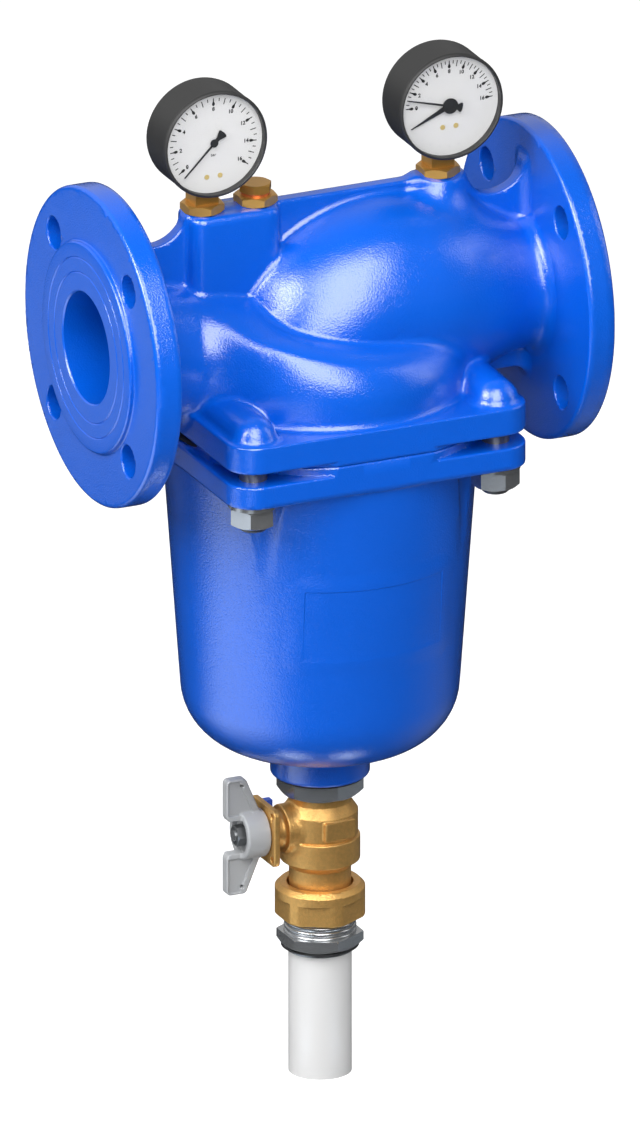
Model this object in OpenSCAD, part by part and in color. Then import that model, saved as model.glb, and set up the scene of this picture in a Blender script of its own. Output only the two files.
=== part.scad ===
// Flanged self-cleaning water filter with a drain valve and two dial gauges.
// Millimetres. Origin: centre of the drain pipe's lower end. +X runs with the flow from inlet to
// outlet, +Y to the back, +Z up. Heights below are given from the line axis unless they say otherwise.

/* [Pipe flanges] */
// Length between the two sealing faces
face_to_face = 290; // [280:1:310]
// Bore of the inlet and the outlet
line_bore = 65; // [55:1:68]
// Outside diameter of each pipe flange
flange_d = 185; // [175:1:210]
// Thickness of the flange plate behind its raised face
flange_t = 16; // [14:0.5:20]
// Diameter of the raised sealing face
raised_d = 122; // [112:1:124]
// Height of the raised sealing face
raised_h = 3; // [2:0.5:4]
// Diameter of the outer sealing groove
outer_groove_d = 104; // [98:1:108]
// Diameter of the inner sealing groove
inner_groove_d = 87; // [80:1:92]
// Width of both sealing grooves
groove_w = 1.2; // [0.8:0.1:2]
// Depth of both sealing grooves
groove_depth = 0.8; // [0.4:0.1:1.5]
// Diameter of the bolt circle
bolt_circle_d = 145; // [143:1:155]
// Diameter of the flange bolt holes
bolt_hole_d = 19; // [16:0.5:20]
// Number of flange bolt holes
bolt_count = 4; // [4:4:8]
// Wall of the necks behind the flanges
neck_wall = 6.3; // [5:0.1:7]
// Width of the cone that runs from a flange into its neck
neck_flare = 8; // [5:0.5:10]

/* [Upper housing] */
// How far the top of the spine lies below the flange rims
spine_drop = 20.5; // [17:0.5:22]
// Thickness of the spine and of the lower webs
spine_w = 9; // [7:0.5:12]
// Radius of the hollow in the spine next to each flange
gusset_r = 22; // [20:0.5:23]
// Distance of that hollow's centre from the sealing face
gusset_x = 40; // [39:0.5:42]
// Depth of the lower webs below the line axis
web_depth = 51; // [46:0.5:54]
// Distance between the two gauge ports
port_span = 146; // [142:1:150]
// Distance from the inlet gauge port to the vent port
vent_span = 33; // [30:0.5:36]
// Length of the column that carries the inlet gauge and the vent
column_l = 55; // [52:0.5:60]
// Width of that column
column_w = 30; // [27:0.5:33]
// Radius of the column's upright edges
column_edge_r = 8; // [5:0.5:11]
// Top radius of the outlet gauge boss
gauge_boss_r = 14; // [13.2:0.1:16]
// Outside radius of the outlet bulge's tube
bulge_r = 60; // [57:0.5:61]
// Radius of the bulge's bend
bulge_bend_r = 48; // [46:0.5:50]
// Distance of the bend's centre behind the body axis
bulge_x = 33; // [30:0.5:36]
// Slope of the inlet neck towards the bowl, in degrees
inlet_slope = 16; // [13:0.5:18]
// How much narrower the lower dome is than the bowl, on each side
dome_step = 4.5; // [2:0.5:6]
// Radius of the lower dome's shoulder
shoulder_r = 24; // [20:0.5:26]
// Height of the lower dome's top above the line axis
dome_top = -3; // [-6:0.5:2]
// Slope of the inlet scroll around the bulge, in degrees
scroll_slope = 18; // [15:0.5:20]
// Height of the inlet scroll at the body axis
scroll_top = 0; // [-3:0.5:3]
// Wall of the lower dome around the ring-shaped inlet chamber
dome_wall = 8; // [7:0.5:10]
// Depth of that chamber's roof below the line axis
chamber_roof = 30; // [28:0.5:33]
// Outside radius of the guide tube
guide_r = 46; // [44:0.5:48]
// Radius of the guide tube's bore, in which the insert slides
guide_bore_r = 38; // [36:0.5:39]
// Radius of the hollow in the outlet bulge
bulge_hollow_r = 46; // [43:0.5:47]

/* [Housing joint] */
// Depth of the parting plane below the line axis
parting_depth = 58.4; // [57:0.2:60]
// How much narrower the square flanges are than the pipe flanges
square_step = 1; // [0.5:0.5:3]
// Corner radius of the square flanges
square_corner_r = 17; // [14:0.5:20]
// Thickness of the housing's square flange
cover_t = 18.7; // [16:0.1:19]
// Thickness of the bowl's square flange
bowl_flange_t = 18.6; // [17:0.1:21]
// How far the round sealing land reaches beyond the bowl
land_step = 10.5; // [8:0.5:14]
// How far the housing's corners stand back from the parting plane
cover_relief = 2.7; // [1.5:0.1:4]
// How far the bowl's corners stand back from the parting plane
bowl_relief = 5.1; // [3:0.1:6]
// Distance of each stud from the sides of the square flanges
stud_edge = 17; // [16:0.5:19]
// Diameter of the studs
stud_d = 16; // [12:0.5:18]
// Length of stud that shows below each nut
stud_end = 3.5; // [2:0.1:6]
// Width across the flats of the housing nuts
stud_nut_af = 24; // [22:0.5:26]
// Height of the housing nuts
stud_nut_h = 11; // [10:0.2:13]
// Diameter of the housing washers
stud_washer_d = 28.6; // [27:0.2:30]
// Thickness of the housing washers
stud_washer_t = 2.8; // [2:0.1:4]
// Radius of the domed stud bosses
stud_boss_r = 13.4; // [12.6:0.2:15]
// Thickness of the round seal
seal_cord_d = 4; // [3:0.2:5]

/* [Bowl] */
// How far the square flanges stand out beyond the bowl
bowl_step = 2.5; // [2:0.1:4.4]
// How much narrower the bowl is at the start of its round bottom
bowl_taper = 10.3; // [9:0.1:12]
// Depth of the start of the round bottom below the line axis
bowl_side_depth = 221; // [214:0.5:226]
// Radius of the bowl's round bottom edge
knuckle_r = 37; // [35:0.5:40]
// Wall of the bowl
bowl_wall = 7; // [6:0.2:8]
// Radius of the drain neck
drain_neck_r = 28.3; // [27:0.1:30]
// Length of the drain neck under the flat bottom
drain_neck_l = 20.7; // [19:0.1:24]
// Radius around each stud that the bowl's wall leaves free for a spanner
spanner_r = 21; // [19:0.5:23]
// Length of that free space under the bowl's flange
spanner_l = 57; // [45:1:70]

/* [Top fittings] */
// Width across the flats of the brass bushes
bush_af = 22; // [20:0.5:24]
// Height of the bushes' hexagon
bush_h = 5.6; // [5:0.1:9]
// Diameter of the bushes' thread
bush_thread_d = 17; // [15:0.5:18]
// Depth of the bushes' thread
bush_thread_l = 11; // [9:0.5:14]
// Width across the flats of the vent plug
plug_af = 17; // [15:0.5:18]
// Height of the vent plug's hexagon
plug_h = 5.2; // [4.4:0.2:9]
// Diameter of the copper washer
copper_d = 16.6; // [15:0.2:18]
// Thickness of the copper washer
copper_t = 1.4; // [1:0.1:2]

/* [Gauges] */
// Outside radius of the gauge cases
case_r = 32; // [30:0.1:34]
// Depth of the gauge cases from front to back
case_depth = 28.6; // [26:0.2:32]
// Distance of the case's front from the stem's axis
case_front = 20; // [18:0.2:22]
// Height of the dial centres above the spine
gauge_rise = 46.3; // [45:0.1:52]
// Wall of the gauge cases
case_wall = 1.2; // [1:0.1:2]
// Side of the square gauge stems
stem_side = 14.2; // [12:0.2:15]
// Length of each pressure pointer from its axis
pointer_l = 26; // [22:0.2:27]
// Width of each pressure pointer at its axis
pointer_w = 1.6; // [1:0.1:2.4]
// Angle of the inlet pointer at rest, in degrees from +X towards +Z
inlet_rest = 225; // [215:1:230]
// Angle of the outlet pressure pointer in the photo
outlet_rest = 165; // [150:1:180]
// Angle of the outlet gauge's lower pointer in the photo
lower_rest = 205; // [200:1:215]

/* [Drain] */
// Width across the flats of the steel hexagons
steel_af = 43; // [41:0.5:45]
// Height of the nipple's hexagon
nipple_h = 10.3; // [8:0.1:12]
// Thickness of the black seals
flat_seal_t = 1; // [0.8:0.1:2]
// Height of the line axis above the drain pipe's lower end
axis_h = 458.5; // [452:0.5:475]
// Distance from the drain neck to the ball's centre
ball_drop = 30.7; // [29.5:0.1:33]
// Radius of the ball
ball_r = 12.5; // [12:0.1:12.8]
// Bore of the ball and of the drain
ball_bore_r = 8.5; // [7:0.1:9]
// Outside radius of the valve body's upper half
valve_r = 21.6; // [20.5:0.1:22]
// Outside radius of the valve body's lower half
valve_low_r = 22.8; // [22.1:0.1:23.4]
// Radius of the valve's end piece below the body
end_neck_r = 17.6; // [17:0.1:18.4]
// Width across the flats of the union nut
union_af = 46.8; // [45:0.1:48]
// Height of the union nut
union_h = 20.2; // [19:0.1:24]
// Radius of the galvanised tail's thread
tail_r = 20.6; // [19:0.1:21]
// Height of the lock nut on the tail
lock_h = 7.3; // [6:0.1:8]
// Outside radius of the drain pipe
pipe_r = 18; // [17:0.1:18.4]
// Wall of the drain pipe
pipe_wall = 2.5; // [2:0.1:3]

/* [Drain handle] */
// Side of the square plate under the handle
plate_side = 34; // [31:0.5:36]
// Thickness of that plate
plate_t = 3.5; // [3:0.1:5]
// Distance of the plate's front from the body axis
plate_x = 35.6; // [34:0.2:38]
// Radius of the valve stem
stem_r = 5; // [4:0.1:5.5]
// Radius of the handle's hub
hub_r = 14; // [12:0.1:15]
// Length of the handle's hub
hub_l = 14.2; // [12:0.2:16]
// Radius of the cup in the hub's front
cup_r = 10.3; // [9.8:0.1:10.8]
// Reach of each wing from the stem's axis
wing_reach = 34.7; // [31:0.1:40]
// Thickness of the wings
wing_t = 7; // [5:0.2:9]
// Length of the wings' outer edge along the stem
wing_w = 12.8; // [12:0.1:17]
// How far the wings stand out in front of the hub
wing_front = 9; // [6:0.2:12]
// Width across the flats of the handle nut
handle_nut_af = 11; // [10:0.5:14]
// Height of the handle nut
handle_nut_h = 6; // [5:0.1:7]
// Reach of the blue stop clip behind the plate
clip_l = 5; // [4:0.2:7]

/* [Filter insert] */
// Radius of the sieve
sieve_r = 44.6; // [42:0.2:46]
// Wall of the sieve
sieve_t = 0.5; // [0.4:0.1:0.8]
// Depth of the sieve's lower end below the parting plane
sieve_depth = 146; // [135:1:149]
// Travel of the insert when it is rinsed
insert_travel = 12; // [8:0.5:14]
// Number of ribs in the insert's cage
cage_ribs = 8; // [6:1:12]
// Number of blades on the impeller
impeller_blades = 4; // [3:1:6]
// Radius of the return spring's coil
spring_r = 19; // [17:0.5:21]
// Radius of the return spring's wire
spring_wire_r = 1.6; // [1.2:0.1:2]
// Turns of the return spring
spring_turns = 5; // [4:0.5:6]

/* [Clearances] */
// Play around threads and press fits, in radius
thread_play = 0.1; // [0.05:0.01:0.2]
// Play of shafts in their bearings, in radius
shaft_play = 0.05; // [0.02:0.01:0.1]
// Space between parts that move past each other
moving_gap = 0.3; // [0.25:0.01:0.4]

/* [Hidden] */
$fn = 64;

// Overlap of solids that are joined into one, and overshoot of cutters
bite = 1;
// Steps of each rounded corner that is drawn as an outline
arc_steps = 8;

half_l = face_to_face / 2;
bore_r = line_bore / 2;
neck_r = bore_r + neck_wall;
plate_in = half_l - raised_h - flange_t;
spine_h = flange_d / 2 - spine_drop;
square_side = flange_d - square_step;
stud_xy = square_side / 2 - stud_edge;
bowl_top_r = square_side / 2 - bowl_step;
bowl_low_r = bowl_top_r - bowl_taper;
land_r = bowl_top_r + land_step;
dome_r = bowl_top_r - dome_step;
chamber_r = dome_r - dome_wall;
seal_ring_r = (chamber_r + land_r) / 2;
seal_groove_w = seal_cord_d + 0.4;
knee_l = 33;
knee_x = knee_l - half_l;
web_top = 10;
web_bite = 8;
gusset_rise = 6;
column_foot = 10;
boss_foot = 40;
boss_flare = 9;
cone_back = 6;
cone_lift = 2;
cone_neck_l = 9;
hollow_angle = 115;
signal_r = 3;
signal_low = 10;
inlet_x = -port_span / 2;
outlet_x = port_span / 2;
vent_x = inlet_x + vent_span;
column_x = (inlet_x + vent_x) / 2;
cover_top = cover_t - parting_depth;
bulge_z = spine_h - bulge_bend_r - bulge_r;
bulge_end_angle = 65;
bulge_hollow_x = bulge_x + bulge_bend_r * cos(hollow_angle);
bulge_hollow_z = bulge_z + bulge_bend_r * sin(hollow_angle);
port_r = bush_thread_d / 2 + thread_play;
port_depth = bush_thread_l + 2;
stud_r = stud_d / 2;
stud_hole_r = stud_r + thread_play;
stud_top = cover_top + 4;

bowl_flange_low = -parting_depth - bowl_flange_t;
bowl_bottom = -bowl_side_depth - knuckle_r;
drain_neck_low = bowl_bottom - drain_neck_l;
neck_chamfer = 2.6;
spanner_flare = 1.1;
nipple_z = drain_neck_low - flat_seal_t - nipple_h;
nipple_thread_r = 15.5;
nipple_thread_l = 12;
nipple_low_l = 4.6;
nipple_low_r = end_neck_r - 4;
ball_z = drain_neck_low - ball_drop;

gauge_z = spine_h + gauge_rise;
bush_top = spine_h + bush_h;
case_inner_r = case_r - case_wall;
stem_neck_r = 6;
stem_end_l = 4;
stem_block_rise = 13;
stem_block_top = gauge_z - case_r + case_wall + stem_block_rise;
window_drop = 0.6;
window_y = -case_front + window_drop;
window_t = 1;
window_ledge = 0.5;
dial_drop = 4.4;
dial_y = -case_front + dial_drop;
dial_t = 0.8;
arbor_r = 1;
sleeve_r = 1.9;
pointer_t = 0.5;
pointer_tail = 7;
pointer_gap = 0.5;
pointer_step = 1.1;
bracket_drop = 13;
bracket_y = -case_front + bracket_drop;
arbor_end_y = bracket_y + 6;
bracket_t = 2;
tube_bend_r = case_inner_r - 8;
tube_y = bracket_y + bracket_t + 3;
tube_r = 2;

valve_top = drain_neck_low - flat_seal_t - nipple_h - 0.2;
valve_neck_rise = 14.4;
valve_shoulder_rise = 8.6;
valve_step_z = ball_z - 6;
bonnet_r = 10;
plate_corner_r = 4;
plate_hole_r = 1.9;
plate_hole_xy = plate_side / 2 - plate_corner_r;
valve_low_l = 21;
valve_low_z = ball_z - valve_low_l;
end_thread_r = valve_r - 4;
seat_t = 3;
seat_in = 8;
seat_out_r = 12;
chamber_top = ball_z + seat_in + seat_t + 0.2;
end_thread_top = ball_z - seat_in - seat_t;
union_drop = 13.9;
union_top = valve_low_z - union_drop;
union_low = union_top - union_h;
union_corner_r = union_af / 2 + 2.2;
union_bevel = 2.6;
union_band = 5.1;
end_low = union_top - 12;
tail_top = end_low - flat_seal_t;
lock_z = union_low - 16.8;
pipe_top = union_low + 3;
tail_bore_r = pipe_r + thread_play;

plate_front = -plate_x;
hub_back = plate_front - moving_gap;
hub_front = hub_back - hub_l;
wing_out = hub_front - wing_front;
wing_corner_r = 3;
wing_hole_r = 0.8;
wing_hole_x = wing_out + wing_w - 3.2;
wing_hole_z = wing_reach - 4.4;
nut_x = hub_front + 3;
stem_tip = nut_x - handle_nut_h - 0.8;
stem_tip_r = 3.2;
tongue_w = 4;
tongue_h = 2 * stem_r - 1;

collar_r = guide_bore_r - moving_gap;
collar_in_r = collar_r - 5;
collar_rise = 26;
collar_top = -parting_depth + collar_rise;
collar_low = -parting_depth - 9;
collar_flange_t = 5;
collar_seal_z = collar_top - 6.5;
collar_cord_r = 1;
collar_groove_h = 3;
collar_groove_depth = 2 * collar_cord_r + 0.2;
cage_top = collar_low;
cage_low = -parting_depth - sieve_depth;
cage_ring_t = 6;
cage_rib_t = 4;
cage_rib_w = 3;
cage_foot_t = 2;
cage_r = sieve_r - sieve_t;
pin_r = 4;
pin_foot = 14;
seat_z = bowl_bottom + bowl_wall + 5;
seat_plate_t = 4;
spring_low = seat_z + seat_plate_t;

brass = "#b58a3c";
steel = "#8f9296";
paint = "#145fe1";
black = "#202224";
white = "#f0f0f0";

// Lifts a piece that is drawn from the line axis into the part's frame
module lift() {
    translate([0, 0, axis_h]) children();
}

// Round bar along X from x0 to x1
module bar_x(x0, x1, r) {
    translate([x0, 0, 0]) rotate([0, 90, 0]) cylinder(h = x1 - x0, r = r);
}

// Round bar along Y from y0 to y1
module bar_y(y0, y1, r) {
    translate([0, y1, 0]) rotate([90, 0, 0]) cylinder(h = y1 - y0, r = r);
}

// Ring around Z
module ring(h, r, hole_r) {
    difference() {
        cylinder(h = h, r = r);
        translate([0, 0, -bite]) cylinder(h = h + 2 * bite, r = hole_r);
    }
}

// Hexagon with turned corners, two flats facing +X and -X unless turned
module hexagon(af, h, turn = 30, turned_top = true) {
    corner_r = af / 2 / cos(30);
    wide = corner_r + bite;
    flat_r = af / 2 - 0.3;
    drop = (wide - flat_r) * tan(30);
    top_r = turned_top ? flat_r : corner_r - 0.4;
    top_drop = (wide - top_r) * tan(30);
    intersection() {
        rotate(turn) cylinder(h = h, r = corner_r, $fn = 6);
        rotate_extrude()
            polygon([[0, 0], [flat_r, 0], [wide, drop], [wide, h - top_drop], [top_r, h], [0, h]]);
    }
}

// Points of an arc around a centre
function arc(cx, cy, r, from, to) =
    [for (i = [0 : arc_steps]) let (a = from + (to - from) * i / arc_steps)
        [cx + r * cos(a), cy + r * sin(a)]];

// Outline of a rectangle with rounded corners
function rounded(w, d, r) = concat(
    arc(w / 2 - r, d / 2 - r, r, 0, 90), arc(r - w / 2, d / 2 - r, r, 90, 180),
    arc(r - w / 2, r - d / 2, r, 180, 270), arc(w / 2 - r, r - d / 2, r, 270, 360)
);

// One copy at each stud
module at_studs() {
    for (sx = [-1, 1], sy = [-1, 1]) translate([sx * stud_xy, sy * stud_xy, 0]) children();
}

// Square flange whose corners stand back from a round sealing land
module square_flange(low, high, relief_low, relief_high) {
    difference() {
        translate([0, 0, low]) linear_extrude(high - low)
            polygon(rounded(square_side, square_side, square_corner_r));
        translate([0, 0, relief_low]) difference() {
            translate([-square_side, -square_side, 0])
                cube([2 * square_side, 2 * square_side, relief_high - relief_low]);
            translate([0, 0, -bite]) cylinder(h = relief_high - relief_low + 2 * bite, r = land_r);
        }
    }
}

// Pipe flange at the outlet end, with its neck's flare
module pipe_flange() {
    bar_x(plate_in, plate_in + flange_t, flange_d / 2);
    bar_x(plate_in, half_l, raised_d / 2);
    translate([plate_in + 0.2, 0, 0]) rotate([0, -90, 0])
        cylinder(h = neck_flare, r1 = neck_r + neck_flare, r2 = neck_r + 0.3);
}

// Bolt holes and sealing grooves of the outlet flange
module flange_cuts() {
    for (i = [0 : bolt_count - 1]) rotate([360 / bolt_count * (i + 0.5), 0, 0])
        translate([0, bolt_circle_d / 2, 0]) bar_x(plate_in - bite, half_l, bolt_hole_d / 2);
    for (d = [inner_groove_d, outer_groove_d]) translate([half_l - groove_depth, 0, 0]) rotate([0, 90, 0])
        ring(groove_depth + bite, d / 2 + groove_w / 2, d / 2 - groove_w / 2);
}

// Inlet neck: straight behind the flange, then sloping down to the bowl
module inlet_neck() {
    bar_x(-plate_in - bite, knee_x, neck_r);
    translate([knee_x, 0, 0]) sphere(r = neck_r + 0.4);
    translate([knee_x, 0, 0]) rotate([0, inlet_slope, 0]) bar_x(0, dome_r - bore_r / 2, neck_r - 0.4);
}

// Outlet bulge: a wide bend and the cone that leads to the outlet neck
module outlet_bulge() {
    translate([bulge_x, 0, bulge_z]) rotate([90, 0, 0]) rotate([0, 0, bulge_end_angle])
        rotate_extrude(angle = 184 - bulge_end_angle) intersection() {
            translate([bulge_bend_r, 0]) circle(r = bulge_r);
            translate([0, -bulge_r]) square([bulge_bend_r + bulge_r, 2 * bulge_r]);
        }
    cone_x = bulge_x + bulge_bend_r * cos(bulge_end_angle) - cone_back;
    cone_z = bulge_z + bulge_bend_r * sin(bulge_end_angle) + cone_lift;
    cone_end = plate_in - cone_neck_l;
    translate([cone_x, 0, cone_z]) rotate([0, 90 + atan2(cone_z - 1, cone_end - cone_x), 0])
        cylinder(h = cone_end - cone_x, r1 = bulge_r - 0.5, r2 = neck_r);
    bar_x(cone_end - cone_neck_l, plate_in + bite, neck_r - 0.5);
}

// Lower dome over the ring-shaped inlet chamber
module lower_dome() {
    arc_r = dome_r - 1.5 - shoulder_r;
    rotate_extrude() polygon(concat(
        [[0, cover_top - bite], [dome_r, cover_top - bite]],
        arc(arc_r, dome_top - shoulder_r, shoulder_r, 0, 90),
        [[0, dome_top]]
    ));
}

// Inlet scroll that winds down around the bulge, inside the dome's upright wall
module inlet_scroll() {
    wide = dome_r + 3;
    arc_r = shoulder_r + 4;
    intersection() {
        translate([0, 0, cover_top - bite]) cylinder(h = dome_r, r = dome_r - 0.8);
        translate([0, 0, scroll_top]) rotate([0, scroll_slope, 0]) rotate_extrude()
            polygon(concat([[0, -wide], [wide, -wide]], arc(wide - arc_r, -arc_r, arc_r, 0, 90), [[0, 0]]));
    }
}

// Domed stud bosses, with the ridges that run along Y between them
module stud_bosses() {
    at_studs() translate([0, 0, cover_top]) sphere(r = stud_boss_r);
    for (s = [-1, 1]) translate([s * stud_xy, 0, cover_top]) bar_y(-stud_xy, stud_xy, stud_boss_r - 0.4);
}

// Spine along the top and the webs below the necks
module spine() {
    difference() {
        translate([-plate_in - bite, -spine_w / 2, 0]) cube([2 * (plate_in + bite), spine_w, spine_h]);
        for (s = [-1, 1]) translate([s * (half_l - gusset_x), 0, spine_h + gusset_rise])
            bar_y(-spine_w, spine_w, gusset_r);
    }
    web_in = square_side / 2 - web_bite;
    for (s = [-1, 1]) translate([s < 0 ? -plate_in - bite : web_in, -spine_w / 2, -web_depth])
        cube([plate_in + bite - web_in, spine_w, web_depth - web_top]);
}

// Inlet passage: bore, sloping part and ring chamber around the guide tube
module inlet_hollow() {
    bar_x(-half_l - neck_r, knee_x, bore_r);
    translate([knee_x, 0, 0]) sphere(r = bore_r + 0.2);
    translate([knee_x, 0, 0]) rotate([0, 2 * inlet_slope, 0]) bar_x(0, chamber_r * 0.8, bore_r - 0.2);
    translate([0, 0, -parting_depth - bite])
        cylinder(h = parting_depth + bite - chamber_roof, r = chamber_r);
}

// Outlet passage: guide bore, wide hollow and bore
module outlet_hollow() {
    translate([0, 0, -parting_depth - bite]) cylinder(h = parting_depth + bite, r = guide_bore_r);
    translate([bulge_hollow_x, 0, bulge_hollow_z]) sphere(r = bulge_hollow_r);
    bar_x(bulge_hollow_x, half_l + bite, bore_r);
}

module upper_housing() {
    color(paint) lift() difference() {
        union() {
            difference() {
                union() {
                    pipe_flange();
                    mirror([1, 0, 0]) pipe_flange();
                    inlet_neck();
                    outlet_bulge();
                    lower_dome();
                    inlet_scroll();
                    square_flange(-parting_depth, cover_top, -parting_depth - bite,
                        cover_relief - parting_depth);
                    spine();
                    translate([column_x, 0, -column_foot]) linear_extrude(spine_h + column_foot + 0.2)
                        polygon(rounded(column_l, column_w, column_edge_r));
                    translate([outlet_x, 0, boss_foot])
                        cylinder(h = spine_h - boss_foot + 0.2, r1 = gauge_boss_r + boss_flare,
                            r2 = gauge_boss_r);
                    stud_bosses();
                }
                inlet_hollow();
            }
            translate([0, 0, -parting_depth]) cylinder(h = parting_depth, r = guide_r);
        }
        outlet_hollow();
        flange_cuts();
        mirror([1, 0, 0]) flange_cuts();
        at_studs() translate([0, 0, -parting_depth - bite])
            cylinder(h = stud_top + parting_depth + bite + 0.5, r = stud_hole_r);
        for (x = [inlet_x, vent_x, outlet_x]) translate([x, 0, 0]) {
            translate([0, 0, spine_h - port_depth]) cylinder(h = port_depth + bite, r = port_r);
            translate([0, 0, spine_h]) cylinder(h = bite, r = bush_af);
            translate([0, 0, signal_low]) cylinder(h = spine_h - signal_low, r = signal_r);
        }
    }
}

// Half outline of the bowl, pulled in by a wall thickness
function bowl_outline(pull, top) = concat(
    [[0, bowl_bottom + pull]],
    arc(bowl_low_r - knuckle_r, -bowl_side_depth, knuckle_r - pull, -90, -4),
    [[bowl_top_r - pull, bowl_flange_low], [bowl_top_r - pull, top], [0, top]]
);

module filter_bowl() {
    neck_in_r = nipple_thread_r + thread_play;
    color(paint) lift() difference() {
        union() {
            difference() {
                union() {
                    rotate_extrude() polygon(bowl_outline(0, bowl_flange_low + bite));
                    square_flange(bowl_flange_low, -parting_depth, -parting_depth - bowl_relief,
                        bite - parting_depth);
                }
                rotate_extrude() polygon(bowl_outline(bowl_wall, bite - parting_depth));
            }
            translate([0, 0, bowl_bottom + bite])
                cylinder(h = seat_z - bowl_bottom - bite, r = drain_neck_r + 3);
            translate([0, 0, drain_neck_low + neck_chamfer]) cylinder(h = drain_neck_l, r = drain_neck_r);
            translate([0, 0, drain_neck_low])
                cylinder(h = neck_chamfer, r1 = drain_neck_r - neck_chamfer, r2 = drain_neck_r);
        }
        translate([0, 0, drain_neck_low - bite]) cylinder(h = nipple_thread_l + 2 + bite, r = neck_in_r);
        translate([0, 0, drain_neck_low]) cylinder(h = seat_z - drain_neck_low + bite, r = neck_in_r - 1.5);
        at_studs() translate([0, 0, bowl_flange_low - 2 * bite])
            cylinder(h = bowl_flange_t + 4 * bite, r = stud_r + 0.6);
        at_studs() translate([0, 0, bowl_flange_low - spanner_l])
            cylinder(h = spanner_l, r1 = spanner_r, r2 = spanner_r + spanner_flare);
        translate([0, 0, -parting_depth - seal_cord_d])
            ring(seal_cord_d + bite, seal_ring_r + seal_groove_w / 2, seal_ring_r - seal_groove_w / 2);
    }
}

module housing_studs() {
    low = bowl_flange_low - stud_washer_t - stud_nut_h - stud_end;
    color(steel) lift() at_studs() {
        translate([0, 0, low + 1]) cylinder(h = stud_top - low - 1, r = stud_r);
        translate([0, 0, low]) cylinder(h = 1, r1 = stud_r - 1, r2 = stud_r);
    }
}

module housing_washers() {
    color(steel) lift() at_studs() translate([0, 0, bowl_flange_low - stud_washer_t])
        ring(stud_washer_t, stud_washer_d / 2, stud_r + 0.4);
}

// The nuts stop at different angles, as hand-tightened nuts do
module housing_nuts() {
    color(steel) lift() for (sx = [-1, 1], sy = [-1, 1])
        translate([sx * stud_xy, sy * stud_xy, bowl_flange_low - stud_washer_t - stud_nut_h]) difference() {
            hexagon(stud_nut_af, stud_nut_h, sx < 0 ? 0 : 30);
            translate([0, 0, -bite]) cylinder(h = stud_nut_h + 2 * bite, r = stud_r + thread_play);
        }
}

module bowl_seal() {
    color(black) lift() translate([0, 0, -parting_depth - seal_cord_d / 2])
        rotate_extrude() translate([seal_ring_r, 0]) circle(r = seal_cord_d / 2);
}

// Brass bush in a port, with the bore for what screws into it
module bush(x, bore) {
    color(brass) lift() translate([x, 0, spine_h]) difference() {
        union() {
            hexagon(bush_af, bush_h);
            translate([0, 0, -bush_thread_l]) cylinder(h = bush_thread_l + bite, r = bush_thread_d / 2);
        }
        translate([0, 0, -bush_thread_l - bite]) cylinder(h = bush_thread_l + bush_h + 2 * bite, r = bore);
    }
}

module inlet_gauge_bush() {
    bush(inlet_x, stem_neck_r + thread_play);
}

module vent_bush() {
    bush(vent_x, stem_neck_r + thread_play);
}

module outlet_gauge_bush() {
    bush(outlet_x, stem_neck_r + thread_play);
}

module vent_washer() {
    color("#b8643c") lift() translate([vent_x, 0, bush_top]) ring(copper_t, copper_d / 2, stem_neck_r + 0.4);
}

module vent_plug() {
    color(brass) lift() translate([vent_x, 0, bush_top + copper_t]) {
        hexagon(plug_af, plug_h, 0);
        translate([0, 0, -copper_t - bush_h - stem_end_l])
            cylinder(h = copper_t + bush_h + stem_end_l + bite, r = stem_neck_r);
    }
}

// Square stem with its thread below and its socket block inside the case
module gauge_stem(x) {
    color(brass) lift() translate([x, 0, 0]) {
        translate([-stem_side / 2, -stem_side / 2, bush_top])
            cube([stem_side, stem_side, gauge_z - case_r + 0.4 - bush_top]);
        difference() {
            translate([0, 0, spine_h - stem_end_l])
                cylinder(h = stem_block_top - spine_h + stem_end_l, r = stem_neck_r);
            translate([0, 0, spine_h - stem_end_l - bite]) cylinder(h = 3 * stem_end_l, r = 2.5);
            translate([0, tube_y, gauge_z]) rotate([90, 0, 0]) rotate(-95) rotate_extrude(angle = 90)
                translate([tube_bend_r, 0]) circle(r = tube_r + thread_play);
        }
    }
}

// Case: a cup that is open to the front, with ledges for the dial and the window
module gauge_case(x) {
    color(black) lift() translate([x, 0, gauge_z]) difference() {
        bar_y(-case_front, case_depth - case_front, case_r);
        bar_y(-case_front - bite, window_y + window_t, case_inner_r);
        bar_y(window_y, dial_y + dial_t, case_inner_r - window_ledge);
        bar_y(dial_y, case_depth - case_front - 2, case_inner_r - 2);
        translate([0, 0, -case_r - bite]) cylinder(h = case_r, r = stem_neck_r + thread_play);
        translate([-stem_side / 2 - thread_play, -stem_side / 2 - thread_play, -case_r - bite])
            cube([stem_side + 2 * thread_play, stem_side + 2 * thread_play, 1.5 + bite]);
    }
}

module gauge_dial(x, hole_r) {
    color(white) lift() translate([x, 0, gauge_z]) difference() {
        bar_y(dial_y, dial_y + dial_t, case_inner_r - window_ledge - thread_play);
        bar_y(dial_y - bite, dial_y + dial_t + bite, hole_r + moving_gap);
    }
}

module gauge_window(x) {
    color("#d8e4ec") lift() translate([x, 0, gauge_z])
        bar_y(window_y, window_y + window_t, case_inner_r - thread_play);
}

// Bent spring tube that ends in the socket block
module gauge_tube(x) {
    color(brass) lift() translate([x, tube_y, gauge_z]) rotate([90, 0, 0]) rotate(-84)
        rotate_extrude(angle = 250) translate([tube_bend_r, 0]) circle(r = tube_r);
}

// Bracket that stands on the socket block and carries the pointer's bearing
module gauge_bracket(x, hole_r) {
    color(brass) lift() translate([x, 0, 0]) difference() {
        union() {
            translate([-5, bracket_y, stem_block_top]) cube([10, bracket_t, gauge_z + 5 - stem_block_top]);
            translate([-5, bracket_y, stem_block_top]) cube([10, tube_y - bracket_y + tube_r, 1.5]);
        }
        translate([0, 0, gauge_z])
            bar_y(bracket_y - bite, bracket_y + bracket_t + bite, hole_r + shaft_play);
    }
}

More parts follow.
